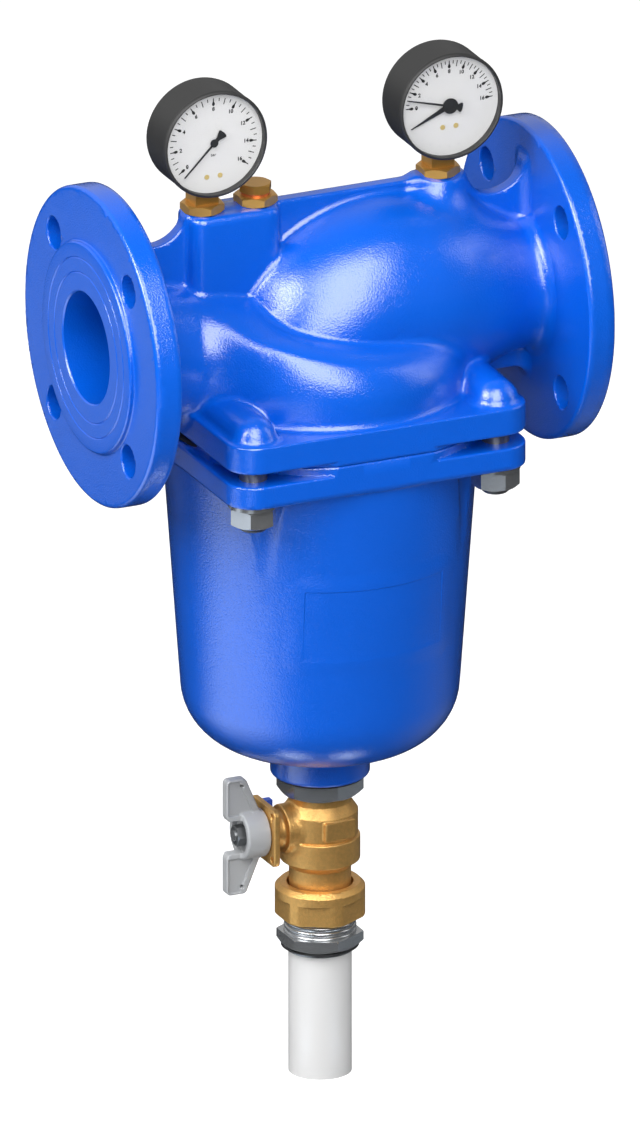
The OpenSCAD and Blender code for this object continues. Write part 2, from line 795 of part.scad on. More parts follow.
// Pointer on its arbor, drawn along +X and turned to its angle
module pointer(x, angle, length, width, y, hub, arbor) {
    color(black) lift() translate([x, 0, gauge_z]) rotate([0, -angle, 0]) {
        difference() {
            union() {
                translate([0, y, 0]) rotate([90, 0, 0]) linear_extrude(pointer_t) polygon([
                    [-pointer_tail, -width], [-pointer_tail, width], [0, width / 2],
                    [length, 0.2], [length, -0.2], [0, -width / 2]
                ]);
                bar_y(y - pointer_t - 0.1, y + 0.2, hub);
                bar_y(y, arbor_end_y, arbor);
            }
            if (arbor > arbor_r) bar_y(y - 2, arbor_end_y + bite, arbor_r + moving_gap);
        }
    }
}

module inlet_gauge_stem() {
    gauge_stem(inlet_x);
}

module inlet_gauge_case() {
    gauge_case(inlet_x);
}

module inlet_gauge_dial() {
    gauge_dial(inlet_x, arbor_r);
}

module inlet_gauge_window() {
    gauge_window(inlet_x);
}

module inlet_gauge_tube() {
    gauge_tube(inlet_x);
}

module inlet_gauge_bracket() {
    gauge_bracket(inlet_x, arbor_r);
}

module inlet_pointer() {
    pointer(inlet_x, inlet_rest, pointer_l, pointer_w, dial_y - pointer_gap - pointer_step / 2, 3, arbor_r);
}

module outlet_gauge_stem() {
    gauge_stem(outlet_x);
}

module outlet_gauge_case() {
    gauge_case(outlet_x);
}

module outlet_gauge_dial() {
    gauge_dial(outlet_x, sleeve_r);
}

module outlet_gauge_window() {
    gauge_window(outlet_x);
}

module outlet_gauge_tube() {
    gauge_tube(outlet_x);
}

module outlet_gauge_bracket() {
    gauge_bracket(outlet_x, sleeve_r);
}

module outlet_pointer() {
    pointer(outlet_x, outlet_rest, pointer_l, pointer_w, dial_y - pointer_gap - pointer_step, 4.5, arbor_r);
}

module outlet_lower_pointer() {
    pointer(outlet_x, lower_rest, pointer_l - 1, pointer_w + 1.4, dial_y - pointer_gap, 3.5, sleeve_r);
}

module drain_nipple() {
    color(steel) lift() difference() {
        union() {
            translate([0, 0, nipple_z]) hexagon(steel_af, nipple_h, 30, false);
            translate([0, 0, nipple_z - nipple_low_l]) cylinder(h = nipple_low_l + bite, r = nipple_low_r);
            translate([0, 0, nipple_z + nipple_h - bite])
                cylinder(h = nipple_thread_l + flat_seal_t + bite, r = nipple_thread_r);
        }
        translate([0, 0, nipple_z - nipple_low_l - bite])
            cylinder(h = nipple_low_l + nipple_thread_l + nipple_h + flat_seal_t + 3 * bite, r = ball_bore_r);
    }
}

module nipple_seal() {
    color(black) lift() translate([0, 0, drain_neck_low - flat_seal_t])
        ring(flat_seal_t, drain_neck_r - neck_chamfer, nipple_thread_r + thread_play);
}

// Brass body: port for the nipple above, ball chamber, thread for the end piece below
module valve_body() {
    color(brass) lift() difference() {
        union() {
            rotate_extrude() polygon([
                [0, valve_top], [end_neck_r, valve_top], [end_neck_r, ball_z + valve_neck_rise],
                [valve_r, ball_z + valve_shoulder_rise],
                [valve_r, valve_step_z + 1], [valve_low_r, valve_step_z], [valve_low_r, valve_low_z + 1],
                [valve_low_r - 1, valve_low_z], [0, valve_low_z]
            ]);
            translate([0, 0, ball_z]) {
                bar_x(plate_front + bite, 0, bonnet_r);
                bar_x(-valve_r - 4, 0, bonnet_r + 4);
                translate([plate_front, 0, 0]) rotate([0, 90, 0]) linear_extrude(plate_t)
                    polygon(rounded(plate_side, plate_side, plate_corner_r));
            }
        }
        translate([0, 0, ball_z]) {
            bar_x(plate_front - bite, 0, stem_r + shaft_play);
            for (sy = [-1, 1], sz = [-1, 1]) translate([0, sy * plate_hole_xy, sz * plate_hole_xy])
                bar_x(plate_front - bite, plate_front + plate_t + bite, plate_hole_r);
        }
        translate([0, 0, valve_low_z - bite])
            cylinder(h = chamber_top - valve_low_z + bite, r = end_thread_r + thread_play);
        translate([0, 0, ball_z]) cylinder(h = valve_top - ball_z + bite, r = ball_bore_r);
        translate([0, 0, valve_top - nipple_low_l - 0.2])
            cylinder(h = nipple_low_l + bite + 0.2, r = nipple_low_r + thread_play);
    }
}

// End piece that screws into the body and carries the union's collar
module valve_end_piece() {
    color(brass) lift() difference() {
        union() {
            translate([0, 0, valve_low_z - bite])
                cylinder(h = end_thread_top - valve_low_z + bite, r = end_thread_r);
            translate([0, 0, valve_low_z - 4]) cylinder(h = 4, r1 = end_neck_r, r2 = valve_low_r - 1.2);
            translate([0, 0, end_low]) cylinder(h = valve_low_z - end_low - 3, r = end_neck_r);
            translate([0, 0, end_low]) cylinder(h = 5, r = tail_r - 0.2);
        }
        translate([0, 0, end_low - bite]) cylinder(h = end_thread_top - end_low + 2 * bite, r = ball_bore_r);
    }
}

// Seat rings above and below the ball
module ball_seats() {
    color("#e8e6de") lift() translate([0, 0, ball_z]) difference() {
        for (z = [-seat_in - seat_t, seat_in]) translate([0, 0, z]) ring(seat_t, seat_out_r, ball_bore_r);
        sphere(r = ball_r + moving_gap);
    }
}

module valve_ball() {
    color(steel) lift() translate([0, 0, ball_z]) difference() {
        sphere(r = ball_r);
        cylinder(h = 2 * ball_r + 2, r = ball_bore_r, center = true);
        translate([-ball_r - bite, -tongue_w / 2 - 0.1, -ball_r / 2]) cube([4, tongue_w + 0.2, ball_r]);
    }
}

// Stem with the tongue that turns the ball
module valve_stem() {
    color(steel) lift() translate([0, 0, ball_z]) {
        bar_x(nut_x, -ball_r - 0.2, stem_r);
        bar_x(stem_tip, nut_x + bite, stem_tip_r);
        translate([-ball_r - bite, -tongue_w / 2, -tongue_h / 2]) cube([bite + 2.8, tongue_w, tongue_h]);
    }
}

module stop_clip() {
    color("#1f56c8") lift() translate([plate_front + plate_t, 5, ball_z + plate_side / 2 - 5])
        cube([clip_l, 5, 4]);
}

// Handle: hub with a cup in front, and two wings in the plane of the stem
module drain_handle() {
    color("#9a9c9e") lift() translate([0, 0, ball_z]) difference() {
        union() {
            bar_x(hub_front, hub_back, hub_r);
            for (s = [0, 180]) rotate([s, 0, 0]) translate([0, wing_t / 2, 0]) rotate([90, 0, 0])
                linear_extrude(wing_t) polygon(concat(
                    [[hub_back, 0], [hub_front, 0]],
                    arc(wing_out + wing_corner_r, cup_r + wing_corner_r, wing_corner_r, 270, 180),
                    arc(wing_out + wing_corner_r, wing_reach - wing_corner_r, wing_corner_r, 180, 90),
                    arc(wing_out + wing_w - wing_corner_r, wing_reach - wing_corner_r, wing_corner_r, 90, 30),
                    [[hub_back, hub_r * 0.7]]
                ));
        }
        bar_x(wing_out - bite, nut_x, cup_r);
        bar_x(nut_x - bite, hub_back + bite, stem_r + thread_play);
        for (s = [-1, 1]) translate([wing_hole_x, 0, s * wing_hole_z]) bar_y(-wing_t, wing_t, wing_hole_r);
    }
}

module handle_nut() {
    color(steel) lift() translate([nut_x, 0, ball_z]) rotate([0, -90, 0]) difference() {
        hexagon(handle_nut_af, handle_nut_h);
        translate([0, 0, -bite]) cylinder(h = handle_nut_h + 2 * bite, r = stem_tip_r + thread_play);
    }
}

// Union nut: a hexagon under a round band, which hangs on the end piece's collar
module union_nut() {
    hang_z = end_low + 5;
    color(brass) lift() difference() {
        intersection() {
            union() {
                translate([0, 0, union_low]) rotate(30)
                    cylinder(h = union_h - union_bevel, r = union_af / 2 / cos(30), $fn = 6);
                translate([0, 0, union_top - union_bevel - union_band])
                    cylinder(h = union_bevel + union_band, r = union_corner_r + bite);
            }
            translate([0, 0, union_low]) rotate_extrude() polygon([
                [0, 0], [union_corner_r - 0.8, 0], [union_corner_r, 0.8],
                [union_corner_r, union_h - union_bevel], [union_corner_r - union_bevel, union_h], [0, union_h]
            ]);
        }
        translate([0, 0, hang_z - bite]) cylinder(h = union_h, r = end_neck_r + 1.2);
        translate([0, 0, union_low - bite])
            cylinder(h = hang_z - union_low + bite, r = tail_r + thread_play);
    }
}

module union_gasket() {
    color(black) lift() translate([0, 0, tail_top]) ring(flat_seal_t, end_neck_r + 2, ball_bore_r);
}

// Galvanised tail with rounded thread rings below the union nut
module drain_tail() {
    pitch = 3.2;
    color(steel) lift() difference() {
        union() {
            translate([0, 0, lock_z - 3]) cylinder(h = tail_top - lock_z + 3, r = tail_r - 1);
            translate([0, 0, union_low + 2]) cylinder(h = tail_top - union_low - 2, r = tail_r);
            for (i = [0 : 2]) translate([0, 0, union_low - pitch * (i + 0.9)]) rotate_extrude()
                translate([tail_r - 1.6, 0]) circle(r = 1.6);
        }
        translate([0, 0, lock_z - 3 - bite]) cylinder(h = pipe_top - lock_z + 3 + bite, r = tail_bore_r);
        translate([0, 0, pipe_top - bite]) cylinder(h = tail_top - pipe_top + 2 * bite, r = ball_bore_r + 2);
    }
}

module tail_lock_nut() {
    color(steel) lift() translate([0, 0, lock_z]) difference() {
        hexagon(steel_af, lock_h, 30, false);
        translate([0, 0, -bite]) cylinder(h = lock_h + 2 * bite, r = tail_r + thread_play);
    }
}

module pipe_seal() {
    color(black) lift() translate([0, 0, lock_z - flat_seal_t]) ring(flat_seal_t, tail_r + 1.6, tail_r - 0.8);
}

module drain_pipe() {
    color(white) ring(axis_h + pipe_top, pipe_r, pipe_r - pipe_wall);
}

// Collar that slides in the guide tube, with a flange under the tube's end
module insert_collar() {
    color(white) lift() difference() {
        union() {
            translate([0, 0, collar_low]) cylinder(h = collar_top - collar_low, r = collar_r);
            translate([0, 0, -parting_depth - moving_gap - collar_flange_t])
                cylinder(h = collar_flange_t, r = guide_r);
        }
        translate([0, 0, collar_low - bite])
            cylinder(h = collar_top - collar_low + 2 * bite, r = collar_in_r);
        translate([0, 0, collar_seal_z - collar_groove_h / 2])
            ring(collar_groove_h, collar_r + bite, collar_r - collar_groove_depth);
    }
}

module collar_seal() {
    color(black) lift() translate([0, 0, collar_seal_z]) rotate_extrude()
        translate([collar_r - collar_cord_r, 0]) circle(r = collar_cord_r);
}

// Cage under the collar: two rings, ribs and the foot with its guide pin
module insert_cage() {
    color(white) lift() difference() {
        union() {
            translate([0, 0, cage_top - cage_ring_t]) cylinder(h = cage_ring_t, r = cage_r);
            translate([0, 0, cage_low]) cylinder(h = cage_ring_t, r = cage_r);
            for (i = [0 : cage_ribs - 1]) rotate(360 / cage_ribs * i)
                translate([cage_r - cage_rib_t - 0.5, -cage_rib_w / 2, cage_low + bite])
                    cube([cage_rib_t, cage_rib_w, cage_top - cage_low - 2 * bite]);
            translate([0, 0, cage_low - cage_foot_t])
                cylinder(h = cage_foot_t + bite, r = spring_r + spring_wire_r + 1);
        }
        translate([0, 0, cage_top - cage_ring_t - bite]) difference() {
            cylinder(h = cage_ring_t + 2 * bite, r = collar_in_r);
            translate([-cage_r, -cage_rib_w, 0]) cube([2 * cage_r, 2 * cage_rib_w, cage_ring_t + bite]);
        }
        translate([0, 0, cage_low - cage_foot_t - bite])
            cylinder(h = cage_top - cage_low + cage_foot_t + 2 * bite, r = pin_r + thread_play);
    }
}

module filter_sieve() {
    color("#b9bcbf") lift() translate([0, 0, cage_low])
        ring(cage_top - cage_low, sieve_r, cage_r + thread_play / 2);
}

// Bladed rotor on the insert's pin
module impeller() {
    low = cage_low + cage_ring_t + 3;
    high = cage_top - cage_ring_t - 3;
    color("#d9d6cc") lift() difference() {
        union() {
            translate([0, 0, low]) cylinder(h = high - low, r = pin_r + 3);
            for (i = [0 : impeller_blades - 1]) rotate(360 / impeller_blades * i)
                translate([pin_r + 1, -1, low + 4]) cube([cage_r - 7 - pin_r, 2, high - low - 8]);
        }
        translate([0, 0, low - bite]) cylinder(h = high - low + 2 * bite, r = pin_r + shaft_play);
    }
}

// Pin with the two shoulders that hold the rotor, fixed in the cage
module impeller_pin() {
    color(steel) lift() {
        translate([0, 0, cage_low - pin_foot]) cylinder(h = cage_top - cage_low + pin_foot, r = pin_r);
        translate([0, 0, cage_low + cage_ring_t]) cylinder(h = 2.7, r = pin_r + 1.5);
        translate([0, 0, cage_top - cage_ring_t - 2.7]) cylinder(h = 2.7, r = pin_r + 1.5);
    }
}

// Coil between the insert's foot and the seat, drawn as one swept tube
module return_spring() {
    sides = 8;
    steps = 20 * spring_turns;
    low = spring_low + spring_wire_r;
    rise = cage_low - 2 - spring_wire_r - low;
    points = [
        for (i = [0 : steps], j = [0 : sides - 1])
            let (a = 360 * spring_turns * i / steps, b = 360 * j / sides,
                r = spring_r + spring_wire_r * cos(b))
                [r * cos(a), r * sin(a), low + rise * i / steps + spring_wire_r * sin(b)]
    ];
    skin = [
        for (i = [0 : steps - 1], j = [0 : sides - 1])
            let (k = (j + 1) % sides)
                [i * sides + j, (i + 1) * sides + j, (i + 1) * sides + k, i * sides + k]
    ];
    first = [for (j = [0 : sides - 1]) j];
    last = [for (j = [0 : sides - 1]) steps * sides + sides - 1 - j];
    color(steel) lift() polyhedron(points = points, faces = concat(skin, [first, last]));
}

// Plate on the bowl's inner ring with drain holes and the foot's guide hole
module spring_seat() {
    color(white) lift() translate([0, 0, seat_z]) difference() {
        cylinder(h = seat_plate_t, r = drain_neck_r + 2);
        translate([0, 0, -bite]) cylinder(h = seat_plate_t + 2 * bite, r = pin_r + moving_gap);
        for (i = [0 : 5]) rotate(60 * i) translate([pin_r + 6, 0, -bite])
            cylinder(h = seat_plate_t + 2 * bite, r = signal_r);
    }
}

upper_housing();
filter_bowl();
housing_studs();
housing_washers();
housing_nuts();
bowl_seal();
inlet_gauge_bush();
vent_bush();
vent_washer();
vent_plug();
outlet_gauge_bush();
inlet_gauge_stem();
inlet_gauge_case();
inlet_gauge_dial();
inlet_gauge_window();
inlet_gauge_tube();
inlet_gauge_bracket();
inlet_pointer();
outlet_gauge_stem();
outlet_gauge_case();
outlet_gauge_dial();
outlet_gauge_window();
outlet_gauge_tube();
outlet_gauge_bracket();
outlet_pointer();
outlet_lower_pointer();
drain_nipple();
nipple_seal();
valve_body();
valve_end_piece();
ball_seats();
valve_ball();
valve_stem();
stop_clip();
drain_handle();
handle_nut();
union_nut();
union_gasket();
drain_tail();
tail_lock_nut();
pipe_seal();
drain_pipe();
insert_collar();
collar_seal();
insert_cage();
filter_sieve();
impeller();
impeller_pin();
return_spring();
spring_seat();
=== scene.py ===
"""Looks of a flanged self-cleaning water filter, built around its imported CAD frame.

Castings are modelled as distance fields in millimetres, measured from the line axis, and meshed once.
Small fittings keep their CAD shape and only get a better finish.
"""

import logging
import math
from dataclasses import dataclass, field
from enum import Enum
from functools import cache

import bmesh
import bpy
import numpy as np
import openvdb
from mathutils import Matrix, Vector

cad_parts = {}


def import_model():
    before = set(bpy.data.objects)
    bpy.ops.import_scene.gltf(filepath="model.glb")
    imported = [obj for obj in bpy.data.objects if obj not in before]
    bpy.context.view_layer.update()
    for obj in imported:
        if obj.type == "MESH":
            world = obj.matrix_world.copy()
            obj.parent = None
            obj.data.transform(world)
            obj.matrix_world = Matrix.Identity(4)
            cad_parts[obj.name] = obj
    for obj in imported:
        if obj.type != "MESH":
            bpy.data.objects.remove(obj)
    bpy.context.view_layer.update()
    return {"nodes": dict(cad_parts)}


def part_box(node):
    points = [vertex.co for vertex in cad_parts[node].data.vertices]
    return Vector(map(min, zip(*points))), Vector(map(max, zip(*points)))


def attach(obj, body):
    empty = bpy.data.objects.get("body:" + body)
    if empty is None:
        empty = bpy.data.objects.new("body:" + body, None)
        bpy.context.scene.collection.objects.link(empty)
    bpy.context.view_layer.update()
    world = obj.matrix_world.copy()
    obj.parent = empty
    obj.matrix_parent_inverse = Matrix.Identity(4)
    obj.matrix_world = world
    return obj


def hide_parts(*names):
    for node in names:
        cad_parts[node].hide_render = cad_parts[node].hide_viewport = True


log = logging.getLogger("filter")

MM = 0.001
AXIS_Z = 458.5

Points = np.ndarray
Values = np.ndarray
Spot = tuple[float, float, float]
Line = list[tuple[float, float]]
Tree = bpy.types.NodeTree
Socket = bpy.types.NodeSocket
Material = bpy.types.Material
Piece = bpy.types.Object


class Axis(Enum):
    """Axis that a piece is turned around, as the places of its two radial and its long coordinate."""

    X = (1, 2, 0)
    Y = (2, 0, 1)


def linear(hex_colour: str) -> tuple[float, float, float, float]:
    """Turns an sRGB hex colour into linear light.

    Args:
        hex_colour: Colour such as "#1f5fe0".

    Returns:
        Linear red, green, blue and an alpha of 1.
    """
    parts = [int(hex_colour[i:i + 2], 16) / 255 for i in (1, 3, 5)]
    red, green, blue = (p / 12.92 if p <= 0.04045 else ((p + 0.055) / 1.055) ** 2.4 for p in parts)
    return red, green, blue, 1.0


def add_node(tree: Tree, kind: str, values: dict | None = None, links: dict | None = None,
             **settings: object) -> bpy.types.Node:
    """Adds one node and sets it up.

    Args:
        tree: Tree that gets the node.
        kind: Node type such as "ShaderNodeBump".
        values: Socket values by input name or number.
        links: Output sockets to link in, by input name or number.
        settings: Node properties such as operation.

    Returns:
        The new node.
    """
    node = tree.nodes.new(kind)
    for name, value in settings.items():
        setattr(node, name, value)
    for key, value in (values or {}).items():
        node.inputs[key].default_value = value
    for key, socket in (links or {}).items():
        tree.links.new(socket, node.inputs[key])
    return node


def new_material(name: str) -> tuple[Material, Tree]:
    """Makes a material without nodes.

    Args:
        name: Material name.

    Returns:
        The material and its empty tree.
    """
    material = bpy.data.materials.new(name)
    material.use_nodes = True
    material.node_tree.nodes.clear()
    return material, material.node_tree


@dataclass(frozen=True)
class Finish:
    """A surface finish of one real material.

    Attributes:
        name: Material name.
        colour: Base colour as sRGB hex.
        roughness: Roughness of the surface.
        metallic: 1 for bare metal, 0 otherwise.
        grain_mm: Size of the surface grain, 0 for none.
        grain_depth_mm: Height of that grain.
        wave_mm: Size of the slow waviness, 0 for none.
        wave_depth_mm: Height of that waviness.
        mottle: How much the colour varies, from 0 to 1.
        mottle_mm: Size of the colour patches.
        coat: Weight of a clear coat.
        coat_roughness: Roughness of that coat.
        coat_ior: Refractive index of that coat.
        specular: Specular level of a coated or plastic surface.
    """

    name: str
    colour: str
    roughness: float
    metallic: float = 0.0
    grain_mm: float = 0.0
    grain_depth_mm: float = 0.0
    wave_mm: float = 0.0
    wave_depth_mm: float = 0.0
    mottle: float = 0.0
    mottle_mm: float = 8.0
    coat: float = 0.0
    coat_roughness: float = 0.08
    coat_ior: float = 1.8
    specular: float = 0.5

    def build(self) -> Material:
        """Makes the material.

        Returns:
            The new material.
        """
        material, tree = new_material(self.name)
        surface = add_node(tree, "ShaderNodeBsdfPrincipled", {
            "Base Color": linear(self.colour), "Roughness": self.roughness, "Metallic": self.metallic,
            "Coat Weight": self.coat, "Coat Roughness": self.coat_roughness, "Coat IOR": self.coat_ior,
            "Specular IOR Level": self.specular,
        })
        if self.mottle:
            self.add_mottle(tree, surface)
        self.add_relief(tree, surface)
        add_node(tree, "ShaderNodeOutputMaterial", links={"Surface": surface.outputs[0]})
        return material

    def noise(self, tree: Tree, size_mm: float, detail: float) -> Socket:
        """Adds a noise pattern of a real size.

        Args:
            tree: Tree that gets the nodes.
            size_mm: Size of the pattern.
            detail: Number of finer octaves.

        Returns:
            The pattern's value socket.
        """
        place = add_node(tree, "ShaderNodeTexCoord").outputs["Object"]
        node = add_node(tree, "ShaderNodeTexNoise", {"Scale": 1 / (size_mm * MM), "Detail": detail},
                        {"Vector": place})
        return node.outputs["Fac"]

    def add_mottle(self, tree: Tree, surface: bpy.types.Node) -> None:
        """Lets the base colour vary in patches.

        Args:
            tree: The material's tree.
            surface: Principled node.
        """
        low = [c * (1 - self.mottle) for c in linear(self.colour)[:3]] + [1]
        high = [min(1, c * (1 + self.mottle)) for c in linear(self.colour)[:3]] + [1]
        mix = add_node(tree, "ShaderNodeMix", {6: low, 7: high}, {0: self.noise(tree, self.mottle_mm, 4)},
                       data_type="RGBA")
        tree.links.new(mix.outputs[2], surface.inputs["Base Color"])

    def add_relief(self, tree: Tree, surface: bpy.types.Node) -> None:
        """Adds the waviness and the grain as bumps.

        Args:
            tree: The material's tree.
            surface: Principled node.
        """
        normal = {}
        for size, depth, detail in ((self.wave_mm, self.wave_depth_mm, 1.0),
                                    (self.grain_mm, self.grain_depth_mm, 2.0)):
            if size:
                bump = add_node(tree, "ShaderNodeBump", {"Strength": 1.0, "Distance": depth * MM},
                                {"Height": self.noise(tree, size, detail), **normal})
                normal = {"Normal": bump.outputs["Normal"]}
        for socket in normal.values():
            tree.links.new(socket, surface.inputs["Normal"])
            tree.links.new(socket, surface.inputs["Coat Normal"])


# Glossy blue epoxy coat on cast iron, with the orange peel of a powder coat
PAINT = Finish("blue_epoxy_coat", "#0155c7", 0.4, grain_mm=1.0, grain_depth_mm=0.2, wave_mm=14,
               wave_depth_mm=0.12, mottle=0.04, mottle_mm=30, coat=1.0, specular=0.1)
# Zinc-plated steel of nuts, washers and pipe fittings
ZINC = Finish("zinc_plated_steel", "#bec0c2", 0.24, metallic=0.85, grain_mm=2.5, grain_depth_mm=0.02, mottle=0.12)
# Dark plain steel of the studs and the handle's nut
DARK_STEEL = Finish("dark_plain_steel", "#77797b", 0.32, metallic=0.8)
# Plain stainless steel inside the part
STAINLESS = Finish("stainless_steel", "#c3c4c6", 0.25, metallic=1)
# Sand-blasted cast brass of the valve
CAST_BRASS = Finish("blasted_cast_brass", "#e2b167", 0.4, metallic=0.75, grain_mm=0.8, grain_depth_mm=0.26,
                    mottle=0.2, mottle_mm=2)
# Machined brass of bushes, plugs and stems
TURNED_BRASS = Finish("machined_brass", "#cd9c50", 0.28, metallic=0.72, grain_mm=1.2, grain_depth_mm=0.01,
                      mottle=0.08, mottle_mm=4)
# Soft copper of the vent's washer
COPPER = Finish("bare_copper", "#d07a4c", 0.3, metallic=0.7)
# Dark painted steel of the gauge cases
CASE = Finish("black_gauge_case", "#282828", 0.5, grain_mm=0.8, grain_depth_mm=0.01)
# White enamel of the dials
DIAL = Finish("white_dial_enamel", "#cecece", 0.6)
# Printing ink on the dials
INK = Finish("black_dial_ink", "#101011", 0.6)
# Pale printing ink of the outlet gauge's lower scale
PALE_INK = Finish("grey_dial_ink", "#c2c3c6", 0.6)
# Brass rivets of the dials
RIVET = Finish("brass_rivet", "#b9a56a", 0.5)
# Matt black of the pointers
POINTER = Finish("black_pointer", "#232426", 0.55)
# Black rubber seals
RUBBER = Finish("black_rubber", "#1c1c1d", 0.7)
# White plastic of ball seats, insert and impeller
PLASTIC = Finish("white_plastic", "#e4e3de", 0.45)
# Grey die-cast handle with a satin coat
HANDLE = Finish("grey_satin_handle", "#a0a2a4", 0.4, grain_mm=1.0, grain_depth_mm=0.015)
# Blue plastic stop clip
CLIP = Finish("blue_plastic_clip", "#1f56c8", 0.35)
# White plastic drain pipe
PIPE = Finish("white_drain_pipe", "#d3d3d3", 0.4)
# Woven sieve cloth
SIEVE = Finish("woven_sieve_steel", "#b9bcbf", 0.4, metallic=1, grain_mm=0.6, grain_depth_mm=0.1)


@cache
def material_of(finish: Finish) -> Material:
    """Makes the material of a finish once.

    Args:
        finish: The finish.

    Returns:
        Its material.
    """
    return finish.build()


@cache
def window_material() -> Material:
    """Makes the clear window with a faint gloss.

    Returns:
        The material.
    """
    material, tree = new_material("clear_gauge_window")
    clear = add_node(tree, "ShaderNodeBsdfTransparent")
    gloss = add_node(tree, "ShaderNodeBsdfGlossy", {"Roughness": 0.03})
    mix = add_node(tree, "ShaderNodeMixShader", {0: 0.03}, {1: clear.outputs[0], 2: gloss.outputs[0]})
    add_node(tree, "ShaderNodeOutputMaterial", links={"Surface": mix.outputs[0]})
    return material


def box2(u: Values, v: Values, half_u: float, half_v: float, corner: float) -> Values:
    """Distance to a rectangle with rounded corners.

    Args:
        u: First coordinate from the centre.
        v: Second coordinate from the centre.
        half_u: Half width.
        half_v: Half height.
        corner: Corner radius.

    Returns:
        Signed distances.
    """
    du = np.abs(u) - (half_u - corner)
    dv = np.abs(v) - (half_v - corner)
    outside = np.hypot(np.maximum(du, 0), np.maximum(dv, 0))
    return outside + np.minimum(np.maximum(du, dv), 0) - corner


def polygon2(u: Values, v: Values, corners: Line) -> Values:
    """Distance to a polygon.

    Args:
        u: First coordinate.
        v: Second coordinate.
        corners: Corners of the polygon in order.

    Returns:
        Signed distances.
    """
    best = np.full(u.shape, np.inf, dtype=np.float32)
    inside = np.zeros(u.shape, dtype=bool)
    for (au, av), (bu, bv) in zip(corners, corners[1:] + corners[:1]):
        eu, ev = bu - au, bv - av
        wu, wv = u - au, v - av
        t = np.clip((wu * eu + wv * ev) / (eu * eu + ev * ev), 0, 1)
        best = np.minimum(best, (wu - eu * t) ** 2 + (wv - ev * t) ** 2)
        crosses = (av > v) != (bv > v)
        if ev:
            inside ^= crosses & (wu < eu * wv / ev)
    return np.where(inside, -1, 1) * np.sqrt(best)


def slab(distance: Values, along: Values, low: float, high: float, edge: float) -> Values:
    """Gives a flat outline a thickness.

    Args:
        distance: Distances to the outline.
        along: Coordinate across the outline's plane.
        low: Lower end.
        high: Upper end.
        edge: Radius of the rounded edges.

    Returns:
        Signed distances to the solid.
    """
    du = distance + edge
    dv = np.abs(along - (low + high) / 2) - (high - low) / 2 + edge
    outside = np.hypot(np.maximum(du, 0), np.maximum(dv, 0))
    return outside + np.minimum(np.maximum(du, dv), 0) - edge


def cone(p: Points, start: Spot, end: Spot, start_r: float,
         end_r: float) -> Values:
    """Distance to a straight cone with flat ends.

    Args:
        p: Points.
        start: Centre of the first end.
        end: Centre of the second end.
        start_r: Radius at the first end.
        end_r: Radius at the second end.

    Returns:
        Signed distances, exact near the side.
    """
    a, b = np.array(start, dtype=np.float32), np.array(end, dtype=np.float32)
    length = float(np.linalg.norm(b - a))
    unit = (b - a) / length
    offset = p - a
    along = offset @ unit
    across = np.sqrt(np.maximum((offset ** 2).sum(axis=1) - along ** 2, 0))
    slope = (end_r - start_r) / length
    side = (across - start_r - slope * along) / math.hypot(1, slope)
    return np.maximum(side, np.maximum(-along, along - length))


def capsule(p: Points, start: Spot, end: Spot,
            radius: float) -> Values:
    """Distance to a bar with round ends.

    Args:
        p: Points.
        start: Centre of the first end.
        end: Centre of the second end.
        radius: Radius of the bar.

    Returns:
        Signed distances.
    """
    a, b = np.array(start, dtype=np.float32), np.array(end, dtype=np.float32)
    offset = p - a
    t = np.clip(offset @ (b - a) / float((b - a) @ (b - a)), 0, 1)
    return np.sqrt(((offset - t[:, None] * (b - a)) ** 2).sum(axis=1)) - radius


def sweep(p: Points, centres: Line, radii: list[float]) -> Values:
    """Distance to a tube of changing radius whose middle line lies in the XZ plane.

    Args:
        p: Points.
        centres: X and Z of the middle line's points, close to each other.
        radii: Radius at each of them.

    Returns:
        Signed distances.
    """
    best = np.full(len(p), np.inf, dtype=np.float32)
    side = p[:, 1] ** 2
    for (x, z), radius in zip(centres, radii):
        best = np.minimum(best, np.sqrt((p[:, 0] - x) ** 2 + side + (p[:, 2] - z) ** 2) - radius)
    return best


def join(a: Values, b: Values, fillet: float) -> Values:
    """Unites two solids with a round fillet.

    Args:
        a: Distances to the first solid.
        b: Distances to the second solid.
        fillet: Radius of the fillet.

    Returns:
        Signed distances to the union.
    """
    ua, ub = np.maximum(fillet - a, 0), np.maximum(fillet - b, 0)
    return np.maximum(fillet, np.minimum(a, b)) - np.hypot(ua, ub)


def cut(a: Values, b: Values, edge: float) -> Values:
    """Takes a second solid out of a first one and rounds the edge.

    Args:
        a: Distances to the first solid.
        b: Distances to the solid that is taken out.
        edge: Radius of the rounded edge.

    Returns:
        Signed distances to what is left.
    """
    ua, ub = np.maximum(edge + a, 0), np.maximum(edge - b, 0)
    return np.minimum(-edge, np.maximum(a, -b)) + np.hypot(ua, ub)


def new_object(name: str, spots: list, faces: list[tuple[int, ...]], material: Material,
               sharp: float = 0) -> Piece:
    """Puts a new mesh into the scene.

    Args:
        name: Object name.
        spots: Vertices in metres.
        faces: Faces by vertex number.
        material: Material of the piece.
        sharp: Angle in degrees above which an edge is sharp, 0 for flat faces.

    Returns:
        The new object.
    """
    mesh = bpy.data.meshes.new(name)
    mesh.from_pydata(spots, [], faces)
    mesh.validate()
    mesh.set_sharp_from_angle(angle=math.radians(sharp))
    mesh.materials.append(material)
    piece = bpy.data.objects.new(name, mesh)
    bpy.context.scene.collection.objects.link(piece)
    log.info("%s: %d faces", name, len(mesh.polygons))
    return piece


